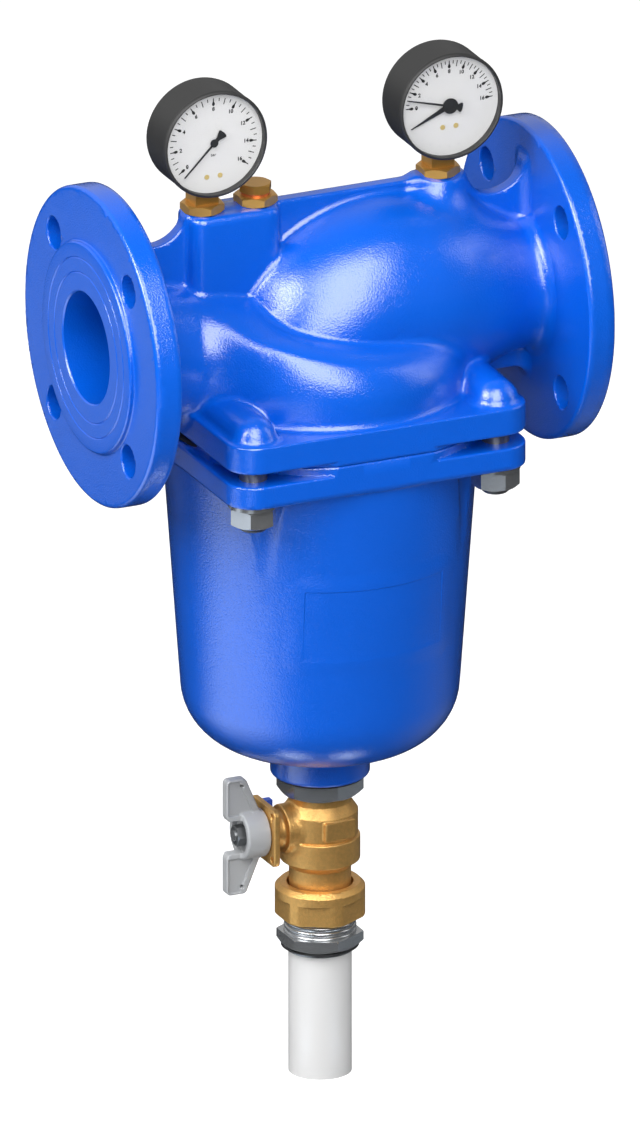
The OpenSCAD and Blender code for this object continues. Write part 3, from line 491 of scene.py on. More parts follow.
@dataclass
class Casting:
    """A cast piece that is meshed from a distance field.

    Attributes:
        name: Object name.
        low: Lower corner of the box that is sampled, in mm from the line axis.
        high: Upper corner of that box.
        step: Sampling step in mm.
        mirrored: Whether front and back mirror each other.
    """

    name: str
    low: Spot
    high: Spot
    step: float
    mirrored: bool = True

    def distance(self, p: Points) -> Values:
        """Distance to the casting.

        Args:
            p: Points in mm from the line axis.

        Returns:
            Signed distances.
        """
        raise NotImplementedError

    def sample(self, step: float) -> tuple[Values, np.ndarray]:
        """Samples the field on a grid.

        Args:
            step: Grid step in mm.

        Returns:
            The grid of distances and its lower corner.
        """
        low = np.array(self.low) - 3 * step
        counts = [int(math.ceil((h - l) / step)) + 4 for l, h in zip(low, self.high)]
        axes = [low[i] + step * np.arange(counts[i]) for i in range(3)]
        if self.mirrored:
            half = int(math.ceil(self.high[1] / step)) + 3
            axes[1] = step * np.arange(half)
            low[1] = -step * (half - 1)
        v, w = np.meshgrid(axes[1], axes[2], indexing="ij")
        grid = np.empty((counts[0], *v.shape), dtype=np.float32)
        flat = np.empty((v.size, 3), dtype=np.float32)
        flat[:, 1], flat[:, 2] = v.ravel(), w.ravel()
        for i, x in enumerate(axes[0]):
            flat[:, 0] = x
            grid[i] = self.distance(flat).reshape(v.shape)
        if self.mirrored:
            grid = np.concatenate([grid[:, :0:-1], grid], axis=1)
        return grid, low

    def gradient(self, p: Points) -> Points:
        """Direction in which the distance grows fastest.

        Args:
            p: Points in mm.

        Returns:
            Unit vectors.
        """
        delta = 0.05
        slopes = np.empty_like(p)
        for i in range(3):
            shift = np.zeros(3, dtype=np.float32)
            shift[i] = delta
            slopes[:, i] = self.distance(p + shift) - self.distance(p - shift)
        return slopes / np.maximum(np.linalg.norm(slopes, axis=1, keepdims=True), 1e-9)

    def build(self, material: Material) -> Piece:
        """Meshes the casting and pulls its vertices onto the exact surface.

        Args:
            material: Material of the casting.

        Returns:
            The new object.
        """
        step = self.step * 1
        grid, low = self.sample(step)
        volume = openvdb.FloatGrid(3 * step)
        volume.copyFromArray(np.clip(grid, -3 * step, 3 * step))
        spots, triangles, quads = volume.convertToPolygons(isovalue=0.0, adaptivity=0.02)
        spots = (spots * step + low).astype(np.float32)
        for _ in range(2):
            move = self.distance(spots)[:, None] * self.gradient(spots)
            spots -= np.clip(move, -step, step)
        normals = self.gradient(spots)
        faces = [tuple(int(i) for i in f) for f in list(quads) + list(triangles)]
        corners = spots[np.array([f[:3] for f in faces])]
        facing = np.cross(corners[:, 1] - corners[:, 0], corners[:, 2] - corners[:, 0])
        first = normals[np.array([f[0] for f in faces])]
        if float((facing * first).sum()) < 0:
            faces = [f[::-1] for f in faces]
        piece = new_object(self.name, ((spots + (0, 0, AXIS_Z)) * MM).tolist(), faces, material, 180)
        mesh = piece.data
        surface = bmesh.new()
        surface.from_mesh(mesh)
        bmesh.ops.dissolve_degenerate(surface, dist=0.01 * MM, edges=surface.edges)
        surface.to_mesh(mesh)
        surface.free()
        kept = np.array([v.co for v in mesh.vertices], dtype=np.float32) / MM - (0, 0, AXIS_Z)
        mesh.normals_split_custom_set_from_vertices(self.gradient(kept.astype(np.float32)).tolist())
        return piece


@dataclass
class FlangedCasting(Casting):
    """A casting with the square flange that housing and bowl share.

    Attributes:
        parting: Height at which housing and bowl meet.
        square_half: Half of the flange's width.
        square_corner: Radius of its corners.
        land_r: Radius of the sealing land.
        land_x: Half of the land's length along the flow.
        stud_xy: Distance of the studs from both middle planes.
    """

    parting: float = -58.4
    square_half: float = 92
    square_corner: float = 17
    land_r: float = 96.4
    land_x: float = 87
    stud_xy: float = 75

    def square_flange(self, p: Points, plate: tuple[float, float], land: tuple[float, float]) -> Values:
        """Square flange with its sealing land.

        Args:
            p: Points in mm.
            plate: Lower and upper height of the plate.
            land: Lower and upper height of the land.

        Returns:
            Signed distances.
        """
        flat = box2(p[:, 0], p[:, 1], self.square_half, self.square_half, self.square_corner)
        r = np.hypot(p[:, 0], p[:, 1])
        round_land = np.maximum(np.maximum(r - self.land_r, flat + 0.3), np.abs(p[:, 0]) - self.land_x)
        return np.minimum(slab(flat, p[:, 2], *plate, 1.2), slab(round_land, p[:, 2], *land, 1.0))


@dataclass
class HousingCasting(FlangedCasting):
    """Upper housing with both pipe flanges, bulge, dome, scroll, column and spine."""

    name: str = "housing_casting"
    low: Spot = (-145, -92.5, -92.5)
    high: Spot = (145, 92.5, 92.5)
    step: float = 1.0
    half_l: float = 145
    plate_in: float = 126
    plate_out: float = 142
    flange_r: float = 92.5
    bore_r: float = 32.5
    neck_r: float = 38.8
    neck_lean: float = 14
    hole_r: float = 9.5
    hole_xy: float = 51.27
    spine_top: float = 72
    spine_half: float = 4.5
    bulge_r: float = 60
    bend_r: float = 42.5
    bend_x: float = 33
    bend_z: float = -36
    taper_end: float = 0.95
    dome_r: float = 85
    dome_top: float = -3
    shoulder_r: float = 24
    scroll_r: float = 88
    scroll_top: float = -4
    scroll_edge: float = 28
    scroll_lean: float = 18
    cover_top: float = -39.7
    boss_r: float = 13.4
    column_x: float = -56.5
    gauge_x: float = 73
    chamber_r: float = 77
    guide_r: float = 38
    guide_wall: float = 8
    turn_x: float = 12.7
    turn_z: float = 7.5
    turn_r: float = 46

    def inlet_neck(self, p: Points) -> Values:
        """Straight neck and its slope down to the bowl.

        Args:
            p: Points in mm.

        Returns:
            Signed distances.
        """
        stride = 2.1
        centres = [(-self.half_l + 6, 0.0)]
        for t in np.linspace(0, 1, 48):
            slope = math.radians(self.neck_lean) * min(1.0, t / 0.18)
            x, z = centres[-1]
            centres.append((x + stride * math.cos(slope), z - stride * math.sin(slope)))
        neck = sweep(p, centres, [self.neck_r] * len(centres))
        return np.maximum(neck, -self.half_l + 14 - p[:, 0])

    def bulge(self, p: Points) -> Values:
        """Wide bend over the body and the cone that leads to the outlet.

        Args:
            p: Points in mm.

        Returns:
            Signed distances.
        """
        turns = [math.radians(a) for a in np.linspace(188, 78, 40)]
        centres = [(self.bend_x + self.bend_r * math.cos(a), self.bend_z + self.bend_r * math.sin(a))
                   for a in turns]
        radii = [self.bulge_r] * len(centres)
        x0, z0 = centres[-1]
        for t in np.linspace(0, 1, 32)[1:]:
            x = x0 + (self.plate_in - x0) * t
            fade = 0.5 - 0.5 * math.cos(math.pi * min(1, t / self.taper_end))
            centres.append((x, z0 * (1 - fade)))
            radii.append(self.bulge_r + (self.neck_r - self.bulge_r) * fade)
        tube = sweep(p, centres, radii)
        return np.maximum(tube, np.maximum(-50 - p[:, 2], p[:, 0] - self.plate_in - 4))

    def dome(self, p: Points) -> Values:
        """Lower dome and the inlet scroll that winds around the bulge.

        Args:
            p: Points in mm.

        Returns:
            Signed distances.
        """
        r = np.hypot(p[:, 0], p[:, 1])
        low = slab(r - self.dome_r, p[:, 2], self.parting - 60, self.dome_top, self.shoulder_r)
        lean = math.radians(self.scroll_lean)
        x = p[:, 0] * math.cos(lean) - p[:, 2] * math.sin(lean)
        z = p[:, 0] * math.sin(lean) + p[:, 2] * math.cos(lean)
        tilted = slab(np.hypot(x, p[:, 1]) - self.scroll_r, z, -120, self.scroll_top, self.scroll_edge)
        scroll = cut(tilted, -(r - self.dome_r + 0.6), 6)
        both = join(low, scroll, 12)
        return np.maximum(both, self.cover_top - 6 - p[:, 2])

    def bosses(self, p: Points) -> Values:
        """Domed stud bosses with the ridges behind them.

        Args:
            p: Points in mm.

        Returns:
            Signed distances.
        """
        q = np.abs(p)
        q[:, 2] = p[:, 2]
        bar = capsule(q, (self.stud_xy, self.stud_xy, self.cover_top), (self.stud_xy, 25, self.cover_top + 1.5),
                      self.boss_r)
        return np.maximum(bar, self.cover_top - 4 - p[:, 2])

    def uprights(self, p: Points) -> tuple[Values, Values, Values]:
        """Column, spine with the lower webs, and the outlet gauge's boss.

        Args:
            p: Points in mm.

        Returns:
            Signed distances to each of the three.
        """
        column = slab(box2(p[:, 0] - self.column_x, p[:, 1], 27.5, 15, 8), p[:, 2], -30, self.spine_top, 4)
        x = np.abs(p[:, 0])
        fin = slab(box2(p[:, 1], p[:, 2] - 20, self.spine_half, self.spine_top - 20, 1.5), x, -1, 130, 0.1)
        fin = cut(fin, np.hypot(x - 105, p[:, 2] - self.spine_top - 6) - 22, 1.2)
        web = slab(box2(p[:, 1], x - 106, self.spine_half, 24, 1.5), p[:, 2], -51, 0, 1.5)
        boss = cone(p, (self.gauge_x, 0, 38), (self.gauge_x, 0, self.spine_top), 23, 14)
        return column, np.minimum(fin, web), cut(boss, self.spine_top - p[:, 2], 1.5)

    def hollows(self, p: Points) -> tuple[Values, Values]:
        """Inlet passage with its ring chamber, and outlet passage.

        Args:
            p: Points in mm.

        Returns:
            Signed distances to both.
        """
        knee = -self.half_l + 33
        lean = math.radians(24)
        end = (knee + 40 * math.cos(lean), 0, -40 * math.sin(lean))
        inlet = np.minimum(cone(p, (-self.half_l - 20, 0, 0), (knee, 0, 0), self.bore_r, self.bore_r),
                           capsule(p, (knee, 0, 0), end, self.bore_r))
        r = np.hypot(p[:, 0], p[:, 1])
        inlet = np.minimum(inlet, slab(r - self.chamber_r, p[:, 2], -90, -30, 0.5))
        ball = np.sqrt((p[:, 0] - self.turn_x) ** 2 + p[:, 1] ** 2 + (p[:, 2] - self.turn_z) ** 2) - self.turn_r
        bore = cone(p, (self.turn_x, 0, 0), (self.half_l + 20, 0, 0), self.bore_r, self.bore_r)
        guide = slab(r - self.guide_r, p[:, 2], -90, 0, 0.5)
        return inlet, np.minimum(np.minimum(ball, bore), guide)

    def distance(self, p: Points) -> Values:
        """Distance to the whole casting.

        Args:
            p: Points in mm from the line axis.

        Returns:
            Signed distances.
        """
        column, fin, boss = self.uprights(p)
        inlet, outlet = self.hollows(p)
        base = self.square_flange(p, (self.parting + 2.7, self.cover_top), (self.parting, self.cover_top - 2))
        pipe_r = np.hypot(p[:, 1], p[:, 2])
        flanges = slab(pipe_r - self.flange_r, np.abs(p[:, 0]), self.plate_in, self.plate_out, 2.4)
        body = self.dome(p)
        for part, fillet in ((self.inlet_neck(p), 18), (self.bulge(p), 4), (base, 5), (self.bosses(p), 4),
                             (fin, 4), (column, 4), (boss, 9), (flanges, 8)):
            body = join(body, part, fillet)
        body = cut(body, inlet, 1.2)
        sleeve = np.hypot(p[:, 0], p[:, 1]) - (self.guide_r + self.guide_wall)
        body = np.minimum(body, slab(sleeve, p[:, 2], self.parting, 0, 0.5))
        body = cut(body, outlet, 1.2)
        holes = np.hypot(np.abs(p[:, 1]) - self.hole_xy, np.abs(p[:, 2]) - self.hole_xy) - self.hole_r
        holes = np.maximum(holes, self.plate_in - 12 - np.abs(p[:, 0]))
        return cut(body, holes, 0.7)


@dataclass
class BowlCasting(FlangedCasting):
    """Filter bowl with its square flange, the hollows beside its nuts and its drain neck."""

    name: str = "bowl_casting"
    low: Spot = (-92, -92, -278.7)
    high: Spot = (92, 92, -58.4)
    step: float = 1.2
    top_r: float = 89.5
    low_r: float = 79.2
    flange_low: float = -77
    side_low: float = -221
    knuckle_r: float = 37
    wall: float = 7
    neck_r: float = 28.3
    neck_low: float = -278.7
    drain_r: float = 14.1
    spanner_r: float = 21
    spanner_low: float = -134

    def distance(self, p: Points) -> Values:
        """Distance to the bowl.

        Args:
            p: Points in mm from the line axis.

        Returns:
            Signed distances.
        """
        r = np.hypot(p[:, 0], p[:, 1])
        z = p[:, 2]
        spread = (self.top_r - self.low_r) / (self.flange_low - self.side_low)
        core_r = self.low_r - self.knuckle_r
        shape = polygon2(r, z, [(0, 0), (core_r - spread * self.side_low, 0), (core_r, self.side_low),
                                (0, self.side_low)])
        outer = np.maximum(shape - self.knuckle_r, z - self.parting + 4)
        base = self.square_flange(p, (self.flange_low, self.parting - 5.1), (self.flange_low + 2, self.parting))
        rise = np.clip(z - self.spanner_low, 0, self.flange_low - self.spanner_low)
        spanner = np.hypot(np.abs(p[:, 0]) - self.stud_xy, np.abs(p[:, 1]) - self.stud_xy)
        spanner -= self.spanner_r - spread * rise + 0.0016 * rise ** 2
        body = cut(outer, spanner, 0.7)
        body = join(body, base, 3)
        neck = slab(r - self.neck_r, z, self.neck_low, self.neck_low + 30, 2.4)
        body = join(body, neck, 5)
        inside = np.maximum(shape - self.knuckle_r + self.wall, self.neck_low + 34 - z)
        body = cut(body, inside, 0.5)
        return cut(body, r - self.drain_r, 0.5)


@dataclass
class ValveCasting(Casting):
    """Brass body of the drain valve with its square plate and a bare raised pad."""

    name: str = "valve_casting"
    low: Spot = (-35.6, -23, -330.4)
    high: Spot = (23, 23, -290.2)
    step: float = 0.6
    mirrored: bool = False
    ball_z: float = -309.4
    bottom: float = -330.4
    neck_r: float = 17.6
    body_r: float = 21.6
    ring_r: float = 22.8
    plate_x: float = -35.6
    plate_t: float = 3.5
    plate_half: float = 17
    hole_xy: float = 13
    hole_r: float = 1.9
    collar_r: float = 14
    shank_r: float = 10
    stem_r: float = 5.05
    seat_r: float = 17.7
    bore_r: float = 13.7
    pad_turn: float = -82

    def distance(self, p: Points) -> Values:
        """Distance to the valve body.

        Args:
            p: Points in mm from the line axis.

        Returns:
            Signed distances.
        """
        r = np.hypot(p[:, 0], p[:, 1])
        z = p[:, 2] - self.ball_z
        barrel = polygon2(r, z, [(0, 18.2), (self.neck_r - 1, 18.2), (self.neck_r - 1, 14.2),
                                 (self.body_r - 1, 8.4), (self.body_r - 1, -5), (0, -5)]) - 1
        ring = slab(r - self.ring_r, z, self.bottom - self.ball_z, -6.2, 0.9)
        body = join(barrel, ring, 0.7)
        x = p[:, 0]
        across = np.hypot(p[:, 1], z)
        body = join(body, slab(across - self.collar_r, x, -25, 0, 1), 2)
        body = join(body, slab(across - self.shank_r, x, self.plate_x + 1, 0, 0.5), 2)
        plate = slab(box2(p[:, 1], z, self.plate_half, self.plate_half, 4), x, self.plate_x,
                     self.plate_x + self.plate_t, 0.6)
        body = join(body, plate, 1.5)
        turn = math.radians(self.pad_turn)
        out = x * math.cos(turn) + p[:, 1] * math.sin(turn)
        side = p[:, 1] * math.cos(turn) - x * math.sin(turn)
        pad = slab(box2(side, z - 1.8, 10, 5.6, 1.5), out, 0, self.body_r + 0.7, 0.6)
        body = join(body, pad, 0.8)
        holes = np.hypot(np.abs(p[:, 1]) - self.hole_xy, np.abs(z) - self.hole_xy) - self.hole_r
        body = cut(body, np.maximum(holes, x + 25), 0.3)
        bore = np.where(z < 11.2, r - self.seat_r, r - self.bore_r)
        body = cut(body, bore, 0.3)
        return cut(body, np.maximum(across - self.stem_r, x), 0.2)


@dataclass
class UnionNut(Casting):
    """Cast union nut: a hexagon with turned corners under a round band."""

    name: str = "union_nut_casting"
    low: Spot = (-25.6, -25.6, -364.5)
    high: Spot = (25.6, 25.6, -344.3)
    step: float = 0.5
    across: float = 46.8
    corner_r: float = 25.6
    bevel: float = 2.6
    band: float = 5.1
    hole_r: float = 18.8
    thread_r: float = 20.7
    hang: float = 7

    def distance(self, p: Points) -> Values:
        """Distance to the union nut.

        Args:
            p: Points in mm from the line axis.

        Returns:
            Signed distances.
        """
        r = np.hypot(p[:, 0], p[:, 1])
        z = p[:, 2]
        low, high = self.low[2], self.high[2]
        angles = [math.radians(30 + 60 * i) for i in range(6)]
        reach = self.across / 2 / math.cos(math.pi / 6)
        hexagon = polygon2(p[:, 0], p[:, 1], [(reach * math.cos(a), reach * math.sin(a)) for a in angles])
        flats = slab(hexagon, z, low, high, 0.4)
        band = np.maximum(r - self.corner_r - 2, high - self.bevel - self.band - z)
        turned = polygon2(r, z, [(0, low), (self.corner_r - 0.8, low), (self.corner_r, low + 0.8),
                                 (self.corner_r, high - self.bevel), (self.corner_r - self.bevel, high),
                                 (0, high)])
        body = cut(join(flats, band, 0.5), -turned, 0.35)
        bore = np.where(z > high - self.hang, r - self.hole_r, r - self.thread_r)
        return cut(body, bore, 0.4)


@dataclass
class WingHandle(Casting):
    """Grey wing handle with recessed wings and a cup for its nut."""

    name: str = "wing_handle_casting"
    low: Spot = (-60, -14.2, -345)
    high: Spot = (-35, 14.2, -274)
    step: float = 0.6
    ball_z: float = -309.4
    hub_r: float = 14
    hub_back: float = -35.9
    hub_front: float = -50.1
    cup_r: float = 10.3
    cup_x: float = -47.1
    wing_out: float = -59.1
    wing_w: float = 12.8
    wing_half: float = 3.5
    reach: float = 34.7
    corner: float = 2.8
    recess: float = 1.3
    stem_r: float = 5.1

    def distance(self, p: Points) -> Values:
        """Distance to the handle.

        Args:
            p: Points in mm from the line axis.

        Returns:
            Signed distances.
        """
        x = p[:, 0]
        z = p[:, 2] - self.ball_z
        rise = np.abs(z)
        across = np.hypot(p[:, 1], z)
        hub = slab(across - self.hub_r, x, self.hub_front, self.hub_back, 1.2)
        c, beam_r = self.corner, self.hub_r * 0.7
        corners = [(self.wing_out + c, self.reach - c), (self.wing_out + self.wing_w - c, self.reach - c),
                   (self.hub_back - c, beam_r - c), (self.hub_back - c, 0), (self.hub_front, 0),
                   (self.wing_out + c, self.cup_r + c)]
        outline = polygon2(x, rise, corners) - c
        wing = slab(outline, p[:, 1], -self.wing_half, self.wing_half, 1.0)
        run, climb = self.wing_out + self.wing_w - self.hub_back, self.reach - beam_r
        beam = ((x - self.hub_back) * climb - (rise - beam_r) * run) / math.hypot(run, climb)
        panel = np.maximum(outline + self.recess, np.maximum(beam + 5, 13 - rise))
        recess = np.maximum(panel, self.wing_half - self.recess - np.abs(p[:, 1]))
        wing = cut(wing, recess, 0.3)
        body = join(hub, wing, 1.5)
        body = cut(body, np.maximum(across - self.cup_r, x - self.cup_x), 0.5)
        holes = np.hypot(x - self.wing_out - self.wing_w + 3.2, rise - self.reach + 4.4) - 0.8
        return cut(cut(body, holes, 0.2), across - self.stem_r, 0.2)


def lathe(name: str, profile: Line, centre: Spot, axis: Axis,
          material: Material, segments: int = 128) -> Piece:
    """Turns a closed profile around an axis.

    Args:
        name: Object name.
        profile: Radius and height in mm along the axis, in order around the solid.
        centre: Centre in mm in the part's frame.
        axis: Axis to turn around.
        material: Material of the piece.
        segments: Number of steps around.

    Returns:
        The new object.
    """
    sharp = 35
    count = len(profile)
    spots, faces = [], []
    for i in range(segments):
        angle = 2 * math.pi * i / segments
        for radius, along in profile:
            local = (radius * math.cos(angle), radius * math.sin(angle), along)
            spot = [0.0, 0.0, 0.0]
            for value, place in zip(local, axis.value):
                spot[place] = (value + centre[place]) * MM
            spots.append(spot)
        for j in range(count):
            k, n = (j + 1) % count, (i + 1) % segments
            faces.append((i * count + j, n * count + j, n * count + k, i * count + k))
    return new_object(name, spots, faces, material, sharp)


@dataclass
class SealingFace:
    """Raised face of a pipe flange, with its turned grooves.

    Attributes:
        side: Side of the housing.
        way: 1 if the face looks along the flow, -1 against it.
        bore_r: Radius of the bore.
        raised_r: Radius of the raised face.
        back: Distance of its back from the middle, inside the flange.
        plate: Distance of the flange's own face.
        front: Distance of the raised face.
        grooves: Radii of the grooves.
        groove_w: Width of a groove.
        groove_d: Depth of a groove.
        edge_r: Radius of the raised face's edge.
        root_r: Radius of the fillet at its foot.
        bevel: Bevel at the bore.
    """

    side: str
    way: int
    bore_r: float = 32.4
    raised_r: float = 61
    back: float = 139.5
    plate: float = 142
    front: float = 145
    grooves: tuple[float, ...] = (43.5, 52.0)
    groove_w: float = 1.2
    groove_d: float = 0.45
    edge_r: float = 1.5
    root_r: float = 1.2
    bevel: float = 0.8

    def profile(self) -> Line:
        """Outline of the ring.

        Returns:
            Radii and places along the pipe.
        """
        line = [(self.bore_r, self.back), (self.bore_r, self.front - self.bevel),
                (self.bore_r + self.bevel, self.front)]
        for groove in self.grooves:
            line += [(groove - self.groove_w / 2, self.front), (groove, self.front - self.groove_d),
                     (groove + self.groove_w / 2, self.front)]
        bends = [(math.cos(math.radians(a)), math.sin(math.radians(a))) for a in range(90, -1, -15)]
        edge, root, foot = self.edge_r, self.root_r, self.raised_r + self.root_r
        line += [(self.raised_r - edge + edge * c, self.front - edge + edge * s) for c, s in bends]
        line += [(foot - root * c, self.plate + root - root * s) for c, s in bends[::-1]]
        line += [(foot, self.back)]
        turned = [(r, self.way * along) for r, along in line]
        return turned if self.way < 0 else turned[::-1]

    def build(self) -> None:
        """Turns the ring."""
        piece = lathe(f"{self.side}_sealing_face", self.profile(), (0, 0, AXIS_Z), Axis.X, material_of(PAINT),
                      192)
        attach(piece, "housing")


@dataclass
class BowlPanel:
    """Bare sunk panel on the bowl's front, in a pad that swells softly out of the bowl.

    Attributes:
        half_w: Half of the panel's width in mm.
        low: Height of its lower edge.
        high: Height of its upper edge.
        rise: How far the pad stands out.
        sink: How far the panel lies below the pad at its upper edge.
        foot: How far it lies below the pad at its lower edge.
        wall: Width of the panel's sloping edge.
        margin: Width of the pad around the panel.
        tuck: How far the pad's border lies below the bowl's surface.
        root: How deep the piece reaches into the bowl.
    """

    half_w: float = 42.5
    low: float = -181
    high: float = -138
    rise: float = 0.45
    sink: float = 0.42
    foot: float = 0.06
    wall: float = 0.4
    margin: float = 12
    tuck: float = 0.05
    root: float = 0.8

    def row(self, low: float, high: float, count: int) -> np.ndarray:
        """Grid lines in one direction, close together at the pad's slope and the panel's edge.

        Args:
            low: Lower edge of the panel.
            high: Upper edge of the panel.
            count: Number of lines on the panel.

        Returns:
            Places of the lines in mm.
        """
        slope = np.linspace(0, self.margin, 12)
        inside = np.linspace(low + self.wall, high - self.wall, count)
        return np.concatenate([low - slope[::-1], inside, high + slope])

    def lift(self, u: np.ndarray, v: np.ndarray) -> np.ndarray:
        """Height of the piece above the bowl.

        Args:
            u: Places across the bowl.
            v: Heights on the bowl.

        Returns:
            Heights in mm, below 0 at the border.
        """
        over = np.maximum(np.abs(u) - self.half_w, 0)
        beyond = np.maximum(np.abs(v - (self.low + self.high) / 2) - (self.high - self.low) / 2, 0)
        t = np.clip(1 - np.hypot(over, beyond) / self.margin, 0, 1)
        pad = (self.rise + self.tuck) * t * t * (3 - 2 * t) - self.tuck
        near = np.minimum(self.half_w - np.abs(u), np.minimum(v - self.low, self.high - v))
        sunk = self.foot + (self.sink - self.foot) * (v - self.low) / (self.high - self.low)
        return np.where(near > self.wall / 2, self.rise - sunk, pad)

    def build(self, bowl: BowlCasting) -> None:
        """Lays the panel onto the bowl.

        Args:
            bowl: Casting that it lies on.
        """
        across, up = self.row(-self.half_w, self.half_w, 64), self.row(self.low, self.high, 24)
        u, v = np.meshgrid(across, up, indexing="ij")
        spots = np.stack([u, -np.sqrt(bowl.top_r ** 2 - u ** 2), v], axis=-1).reshape(-1, 3).astype(np.float32)
        for _ in range(5):
            spots[:, 1] -= bowl.distance(spots) / bowl.gradient(spots)[:, 1]
        normals = bowl.gradient(spots)
        lift = self.lift(u, v).reshape(-1, 1)
        front, back = spots + normals * lift, spots - normals * self.root
        wide, tall = u.shape
        faces = []
        for i in range(wide - 1):
            for j in range(tall - 1):
                a, b = i * tall + j, (i + 1) * tall + j
                faces.append((a, b, b + 1, a + 1))
                faces.append(tuple(c + u.size for c in (a, a + 1, b + 1, b)))
        loop = [i * tall for i in range(wide)] + [(wide - 1) * tall + j for j in range(1, tall)]
        loop += [i * tall + tall - 1 for i in range(wide - 2, -1, -1)] + list(range(tall - 2, 0, -1))
        for a, b in zip(loop, loop[1:] + loop[:1]):
            faces.append((a, a + u.size, b + u.size, b))
        shell = (np.concatenate([front, back]) + (0, 0, AXIS_Z)) * MM
        piece = new_object("bowl_panel", shell.tolist(), faces, material_of(PAINT), 15)
        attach(piece, "housing")


def spun(line: Line, angle: float) -> Line:
    """Turns flat points around the origin.

    Args:
        line: Points.
        angle: Angle in degrees, anticlockwise.

    Returns:
        The turned points.
    """
    c, s = math.cos(math.radians(angle)), math.sin(math.radians(angle))
    return [(u * c - v * s, u * s + v * c) for u, v in line]


@dataclass
class Print:
    """Flat artwork on a dial, collected as polygons in the dial's plane."""

    spots: Line = field(default_factory=list)
    faces: list[tuple[int, ...]] = field(default_factory=list)

    def polygon(self, corners: Line) -> None:
        """Adds one polygon.

        Args:
            corners: Corners in mm from the dial's centre.
        """
        start = len(self.spots)
        self.spots.extend(corners)
        self.faces.append(tuple(range(start, start + len(corners))))

    def radial(self, angle: float, steps: Line) -> None:
        """Adds a mark that points at the centre.

        Args:
            angle: Angle of the mark in degrees, anticlockwise from the right.
            steps: Radius and half width along the mark.
        """
        self.polygon(spun([(r, w) for r, w in steps] + [(r, -w) for r, w in reversed(steps)], angle))

    def hand(self, angle: float, needle: Line, tail: Line,
             hub_r: float) -> None:
        """Adds a pointer as one closed outline.

        Args:
            angle: Angle of the needle in degrees, anticlockwise from the right.
            needle: Radius and half width along the needle.
            tail: Radius and half width along the tail, empty for none.
            hub_r: Radius of the round hub.
        """
        arms = []
        for arm in (needle, tail):
            root = float(np.interp(hub_r, *zip(*arm))) if arm else 0.0
            arms.append((math.asin(root / hub_r), [(r, w) for r, w in arm if r > hub_r]))
        line = []
        for turn, (bend, beyond), (other, _) in zip((0, 180), arms, arms[::-1]):
            side = [(r, -w) for r, w in beyond] + [(r, w) for r, w in reversed(beyond)]
            arc = np.linspace(bend, math.pi - other, 24, endpoint=other > 0)
            side += [(hub_r * math.cos(a), hub_r * math.sin(a)) for a in arc]
            line += spun(side, angle + turn)
        self.polygon(line)

    def disc(self, u: float, v: float, radius: float) -> None:
        """Adds a round dot.

        Args:
            u: Place across.
            v: Place up.
            radius: Radius of the dot.
        """
        corners = [spun([(radius, 0)], 15 * i)[0] for i in range(24)]
        self.polygon([(u + across, v + up) for across, up in corners])

    def word(self, text: str, u: float, v: float, height: float, bold: float) -> None:
        """Adds upright lettering.

        Args:
            text: Characters to set.
            u: Place of its middle across.
            v: Place of its middle up.
            height: Height of the capitals in mm.
            bold: How much the strokes grow on each side, as a share of the height.
        """
        curve = bpy.data.curves.new("lettering", "FONT")
        curve.body = text
        curve.size = height / 0.7
        curve.offset = bold * height
        curve.align_x, curve.align_y = "CENTER", "CENTER"
        curve.resolution_u = 3
        carrier = bpy.data.objects.new("lettering", curve)
        mesh = bpy.data.meshes.new_from_object(carrier)
        start = len(self.spots)
        self.spots.extend((u + p.co.x, v + p.co.y) for p in mesh.vertices)
        self.faces.extend(tuple(start + i for i in f.vertices) for f in mesh.polygons)
        bpy.data.meshes.remove(mesh)
        bpy.data.objects.remove(carrier)
        bpy.data.curves.remove(curve)

    def build(self, name: str, centre: Spot, material: Material,
              thickness: float = 0.0) -> Piece:
        """Turns the artwork into an object that faces -Y.

        Args:
            name: Object name.
            centre: Centre of the dial in mm, with the artwork's front plane as its Y.
            material: Material of the artwork.
            thickness: Depth behind the front plane, 0 for bare ink.

        Returns:
            The new object.
        """
        x, y, z = centre
        spots = [((x + u) * MM, y * MM, (z + v) * MM) for u, v in self.spots]
        faces = list(self.faces)
        if thickness:
            count = len(spots)
            spots += [((x + u) * MM, (y + thickness) * MM, (z + v) * MM) for u, v in self.spots]
            for face in self.faces:
                faces.append(tuple(count + i for i in reversed(face)))
                faces.extend((a, a + count, b + count, b) for a, b in zip(face, face[1:] + face[:1]))
        return new_object(name, spots, faces, material)


@dataclass
class Scale:
    """Scale of a gauge from 0 to 16 in steps of a half.

    Attributes:
        start: Angle of 0 in degrees.
        sweep: Angle from 0 to 16, clockwise.
        outer: Outer radius of the marks in mm.
        mark_w: Half width of a mark.
        number_r: Radius of the numbers' middles.
        number_h: Height of the numbers.
        bold: How much the numbers' strokes grow, as a share of their height.
    """

    start: float
    sweep: float
    outer: float = 26.9
    mark_w: float = 0.28
    number_r: float = 20.3
    number_h: float = 2.2
    bold: float = 0.06

    def draw(self, art: Print) -> None:
        """Draws marks and numbers.

        Args:
            art: Artwork that gets them.
        """
        rim, w = self.outer, self.mark_w
        for i in range(33):
            angle = self.start - self.sweep * i / 32
            if i % 4 == 0:
                art.radial(angle, [(rim, w), (rim - 1.9, 0.34), (rim - 3.4, 0.9), (rim - 4.2, 0.8),
                                   (rim - 4.7, 0.25)])
                art.word(str(i // 2), *spun([(self.number_r, 0)], angle)[0], self.number_h, self.bold)
            else:
                art.radial(angle, [(rim, w), (rim - (3.7 if i % 2 == 0 else 2.0), w)])
        u, v = spun([(rim - 6.2, 0)], self.start)[0]
        art.disc(u + 0.4, v - 0.4, 0.6)


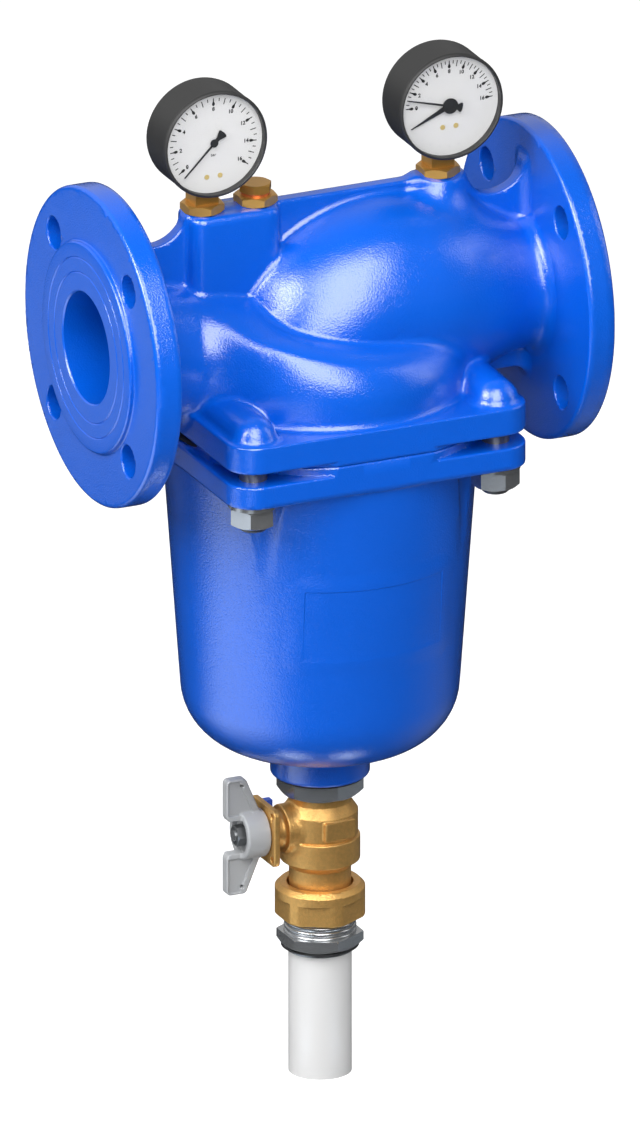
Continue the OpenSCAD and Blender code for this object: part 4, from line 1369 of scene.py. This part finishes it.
@dataclass
class Gauge:
    """Dial gauge with its case, artwork, rivets and pointers.

    Attributes:
        side: "inlet" or "outlet", as in the node names.
        x: Place along the line in mm.
        scale: The printed scale.
        rivet_drop: Drop of the rivets below the centre.
        z: Height of the centre in mm.
        case_r: Outside radius of the case.
        front: Place of the case's front.
        depth: Depth of the case.
    """

    side: str
    x: float
    scale: Scale
    rivet_drop: float
    z: float = AXIS_Z + 118.3
    case_r: float = 32
    front: float = -20
    depth: float = 28.6

    def dial_y(self) -> float:
        """Finds the front plane of the CAD dial.

        Returns:
            Its place along Y in mm.
        """
        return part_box(f"{self.side}_gauge_dial")[0].y / MM

    def case(self) -> None:
        """Builds the case with its rolled bezel."""
        r, f, b = self.case_r, self.front, self.front + self.depth
        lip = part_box(f"{self.side}_gauge_dial")[1].x / MM - self.x - 0.1
        profile = [(lip, self.dial_y() + 0.5), (lip, f + 0.4), (lip + 0.3, f), (r - 1.2, f), (r - 0.4, f + 0.5),
                   (r, f + 1.6), (r, f + 2.4), (r - 0.25, f + 3.0), (r - 0.25, b - 3), (r - 0.6, b - 1.6),
                   (r - 1.6, b - 0.5), (r - 3.2, b), (0.01, b), (0.01, b - 1.5), (r - 4, b - 1.5),
                   (r - 4, self.dial_y() + 0.5)]
        piece = lathe(f"{self.side}_gauge_shell", profile, (self.x, 0, self.z), Axis.Y, material_of(CASE))
        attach(piece, "housing")
        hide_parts(f"{self.side}_gauge_case")

    def artwork(self) -> None:
        """Prints the dial and sets its rivets."""
        ink, pale, rivets = Print(), Print(), Print()
        self.scale.draw(ink)
        if self.side == "inlet":
            ink.word("bar", 0, -7.4, 1.7, 0.03)
        else:
            for i in range(11):
                pale.disc(*spun([(25, 0)], 200 + 14 * i)[0], 0.55)
        for shift in (-4.1, 4.1):
            rivets.disc(shift, -self.rivet_drop, 1.5)
        y = self.dial_y()
        for art, label, finish, lift in ((ink, "ink", INK, 0.05), (pale, "pale_ink", PALE_INK, 0.05),
                                         (rivets, "rivets", RIVET, 0.3)):
            if art.faces:
                piece = art.build(f"{self.side}_dial_{label}", (self.x, y - lift, self.z), material_of(finish),
                                  0.3 if art is rivets else 0.0)
                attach(piece, "housing")

    def pointer(self, node: str, angle: float, needle: Line,
                tail: Line, hub_r: float) -> None:
        """Builds one pointer on its body.

        Args:
            node: CAD node of the pointer, which names its body too.
            angle: Resting angle in degrees.
            needle: Radius and half width along the needle.
            tail: Radius and half width along the tail.
            hub_r: Radius of the hub cap.
        """
        low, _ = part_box(node)
        art = Print()
        art.hand(angle, needle, tail, hub_r)
        piece = art.build(f"{node}_hand", (self.x, low.y / MM, self.z), material_of(POINTER), 0.5)
        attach(piece, node)
        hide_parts(node)

    def build(self) -> None:
        """Builds case and artwork."""
        self.case()
        self.artwork()


@dataclass
class Fittings:
    """CAD nodes that keep their shape and get a better finish."""

    def rows(self) -> list[tuple[Finish, list[str]]]:
        """Lists which finish goes on which nodes.

        Returns:
            Finishes with their nodes.
        """
        gauges = ("inlet_gauge", "outlet_gauge")
        return [
            (ZINC, ["housing_washers", "housing_nuts", "drain_nipple", "drain_tail", "tail_lock_nut",
                    "valve_stem"]),
            (DARK_STEEL, ["housing_studs", "handle_nut"]),
            (STAINLESS, ["valve_ball", "impeller_pin", "return_spring"]),
            (CAST_BRASS, ["valve_end_piece"]),
            (TURNED_BRASS, ["inlet_gauge_bush", "vent_bush", "outlet_gauge_bush", "vent_plug"]
             + [f"{g}_{n}" for g in gauges for n in ("stem", "tube", "bracket")]),
            (COPPER, ["vent_washer"]),
            (DIAL, [f"{g}_dial" for g in gauges]),
            (RUBBER, ["bowl_seal", "nipple_seal", "union_gasket", "pipe_seal", "collar_seal"]),
            (PLASTIC, ["ball_seats", "insert_collar", "insert_cage", "impeller", "spring_seat"]),
            (CLIP, ["stop_clip"]),
            (PIPE, ["drain_pipe"]),
            (SIEVE, ["filter_sieve"]),
        ]

    def coat(self, node: Piece, material: Material) -> None:
        """Gives one node its material.

        Args:
            node: CAD object.
            material: Its material.
        """
        node.data.materials.clear()
        node.data.materials.append(material)
        log.info("%s: %s", node.name, material.name)

    def dress(self, nodes: dict[str, Piece]) -> None:
        """Puts the finishes on the nodes.

        Args:
            nodes: CAD objects by node name.
        """
        for finish, names in self.rows():
            for name in names:
                self.coat(nodes[name], material_of(finish))
        for name in ("inlet_gauge_window", "outlet_gauge_window"):
            self.coat(nodes[name], window_material())


@dataclass
class Studio:
    """White floor, soft lights and the camera at the photo's angle.

    Attributes:
        target: Point that the camera looks at, in metres.
        azimuth: Camera azimuth in degrees, from the front to the right.
        elevation: Camera elevation in degrees.
        distance: Distance of the camera in metres.
        frame_height: Height of the picture in metres.
        floor_half: Half of the floor's width in metres.
        cards: Centre, reach and strength of the bright patches that gloss sees on the floor.
        dim: What gloss sees of the floor beside them.
        softboxes: Name, place, size in metres and power in watts of the lights.
    """

    target: Spot = (0.0, 0.0, 0.307)
    azimuth: float = -24.148
    elevation: float = 20.902
    distance: float = 4.0
    frame_height: float = 0.6339
    floor_half: float = 12.0
    cards: tuple[tuple[Spot, float, float], ...] = (
        ((-0.58, 0.0, 0.0), 0.48, 1.7), ((-1.08, 0.03, 0.0), 0.32, 1.1), ((-0.64, 1.1, 0.0), 0.45, 0.42),
        ((-0.9, -1.2, 0.0), 0.5, 1.8), ((-0.07, -0.025, 0.0), 0.038, 4.5), ((0.03, -0.07, 0.0), 0.038, 4.5),
        ((0.42, -0.04, 0.0), 0.32, 0.2))
    dim: float = 0.004
    softboxes: tuple[tuple[str, Spot, tuple[float, float], float], ...] = (
        ("key_softbox", (-0.31, -1.07, 1.31), (1.1, 1.45), 29.5),
        ("left_softbox", (-1.3, -0.2, 1.3), (0.9, 0.9), 26),
        ("right_softbox", (1.7, -0.6, 1.2), (0.6, 1.4), 4))

    def floor(self) -> None:
        """Lays the white floor, which keeps its shadows and shows as white cards in gloss."""
        material, tree = new_material("white_studio_floor")
        matt = add_node(tree, "ShaderNodeBsdfDiffuse", {"Color": linear("#bcbcbc")})
        seen = add_node(tree, "ShaderNodeLightPath")
        white = add_node(tree, "ShaderNodeMath", {1: 0.85}, {0: seen.outputs["Is Camera Ray"]},
                         operation="MULTIPLY")
        glow = add_node(tree, "ShaderNodeEmission", links={"Strength": white.outputs[0]})
        lit = add_node(tree, "ShaderNodeAddShader", links={0: matt.outputs[0], 1: glow.outputs[0]})
        place = add_node(tree, "ShaderNodeTexCoord").outputs["Object"]
        shine = None
        for centre, reach, strength in self.cards:
            gap = add_node(tree, "ShaderNodeVectorMath", {1: centre}, {0: place}, operation="DISTANCE")
            card = add_node(tree, "ShaderNodeMapRange", {1: reach, 2: 0.4 * reach, 3: self.dim, 4: strength},
                            {0: gap.outputs["Value"]}, interpolation_type="SMOOTHSTEP").outputs[0]
            if shine:
                card = add_node(tree, "ShaderNodeMath", links={0: shine, 1: card}, operation="ADD").outputs[0]
            shine = card
        mirrored = add_node(tree, "ShaderNodeEmission", {"Color": linear("#e4f1ff")}, {"Strength": shine})
        mix = add_node(tree, "ShaderNodeMixShader",
                       links={0: seen.outputs["Is Glossy Ray"], 1: lit.outputs[0], 2: mirrored.outputs[0]})
        add_node(tree, "ShaderNodeOutputMaterial", links={"Surface": mix.outputs[0]})
        a = self.floor_half
        corners = [(-a, -a, 0), (a, -a, 0), (a, a, 0), (-a, a, 0)]
        new_object("studio_floor", corners, [(0, 1, 2, 3)], material)

    def world(self) -> None:
        """Sets a soft surrounding light and a white backdrop for the camera."""
        world = bpy.data.worlds.new("studio")
        world.use_nodes = True
        bpy.context.scene.world = world
        tree = world.node_tree
        tree.nodes.clear()
        way = add_node(tree, "ShaderNodeTexCoord").outputs["Generated"]
        depth = add_node(tree, "ShaderNodeSeparateXYZ", links={0: way}).outputs["Y"]
        fade = add_node(tree, "ShaderNodeMapRange", {1: 0.0, 2: 0.8, 3: 0.07, 4: 0.5}, {0: depth},
                        interpolation_type="SMOOTHSTEP")
        soft = add_node(tree, "ShaderNodeBackground", {"Color": linear("#ffffff")}, {"Strength": fade.outputs[0]})
        back = add_node(tree, "ShaderNodeBackground", {"Color": linear("#ffffff"), "Strength": 1.0})
        seen = add_node(tree, "ShaderNodeLightPath")
        mix = add_node(tree, "ShaderNodeMixShader",
                       links={0: seen.outputs["Is Camera Ray"], 1: soft.outputs[0], 2: back.outputs[0]})
        add_node(tree, "ShaderNodeOutputWorld", links={"Surface": mix.outputs[0]})

    def hang(self, holder: Piece, place: Vector, aim: Vector) -> None:
        """Puts a light or camera into the scene.

        Args:
            holder: The light or camera.
            place: Its place in metres.
            aim: Direction that it points in.
        """
        holder.matrix_world = Matrix.Translation(place) @ aim.to_track_quat("-Z", "Y").to_matrix().to_4x4()
        bpy.context.scene.collection.objects.link(holder)

    def light(self, name: str, place: Spot, size: tuple[float, float],
              power: float) -> None:
        """Hangs one softbox that points at the target.

        Args:
            name: Light name.
            place: Place in metres.
            size: Width and height in metres.
            power: Power in watts.
        """
        lamp = bpy.data.lights.new(name, "AREA")
        lamp.shape = "RECTANGLE"
        lamp.size, lamp.size_y = size
        lamp.energy = power
        self.hang(bpy.data.objects.new(name, lamp), Vector(place), Vector(self.target) - Vector(place))
        log.info("light %s: %.0f W", name, power)

    def camera(self) -> None:
        """Sets the camera, which sees parallel lines as parallel, as in the photo."""
        lens = bpy.data.cameras.new("photo_camera")
        lens.type = "ORTHO"
        lens.ortho_scale = self.frame_height
        turn, rise = math.radians(self.azimuth), math.radians(self.elevation)
        way = Vector((math.sin(turn) * math.cos(rise), -math.cos(turn) * math.cos(rise), math.sin(rise)))
        holder = bpy.data.objects.new("photo_camera", lens)
        self.hang(holder, Vector(self.target) + way * self.distance, -way)
        bpy.context.scene.camera = holder

    def build(self) -> None:
        """Sets up floor, world, lights and camera."""
        self.floor()
        self.world()
        for softbox in self.softboxes:
            self.light(*softbox)
        self.camera()
        bpy.context.scene.view_settings.view_transform = "Standard"


def build_castings() -> None:
    """Builds the meshed castings and lets them ride their bodies."""
    rows: list[tuple[Casting, Finish, str, str, str]] = [
        (HousingCasting(), PAINT, "housing", "upper_housing", "blue_epoxy"),
        (BowlCasting(), PAINT, "housing", "filter_bowl", "blue_epoxy"),
        (ValveCasting(), CAST_BRASS, "housing", "valve_body", "cast_brass"),
        (UnionNut(), CAST_BRASS, "housing", "union_nut", "cast_brass"),
        (WingHandle(), HANDLE, "drain_valve_turn", "drain_handle", "grey_handle"),
    ]
    for casting, finish, body, node, slot in rows:
        piece = casting.build(material_of(finish))
        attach(piece, body)
        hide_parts(node)
    for side, way in (("inlet", -1), ("outlet", 1)):
        SealingFace(side, way).build()
    BowlPanel().build(BowlCasting())


def build_gauges() -> None:
    """Builds both gauges."""
    inlet = Gauge("inlet", -73, Scale(217, 254), 20.2)
    inlet.build()
    inlet.pointer("inlet_pointer", 225, [(0, 0.6), (26, 0.32)],
                  [(0, 0.9), (3.5, 1.2), (7.4, 3.0), (8.1, 2.0), (8.3, 0.4)], 2.4)
    outlet = Gauge("outlet", 73, Scale(177, 174), 12.9)
    outlet.build()
    outlet.pointer("outlet_pointer", 165, [(0, 0.65), (26.8, 0.32)],
                   [(0, 1.2), (4.5, 1.4), (6.4, 2.8), (7.2, 2.6), (7.6, 1.2)], 4.6)
    outlet.pointer("outlet_lower_pointer", 205, [(0, 1.7), (26.2, 0.15)], [], 4.2)


def main() -> None:
    """Builds the whole scene."""
    logging.basicConfig(level=logging.INFO, format="%(name)s: %(message)s")
    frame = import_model()
    build_castings()
    build_gauges()
    Fittings().dress(frame["nodes"])
    Studio().build()


if __name__ == "__main__":
    main()
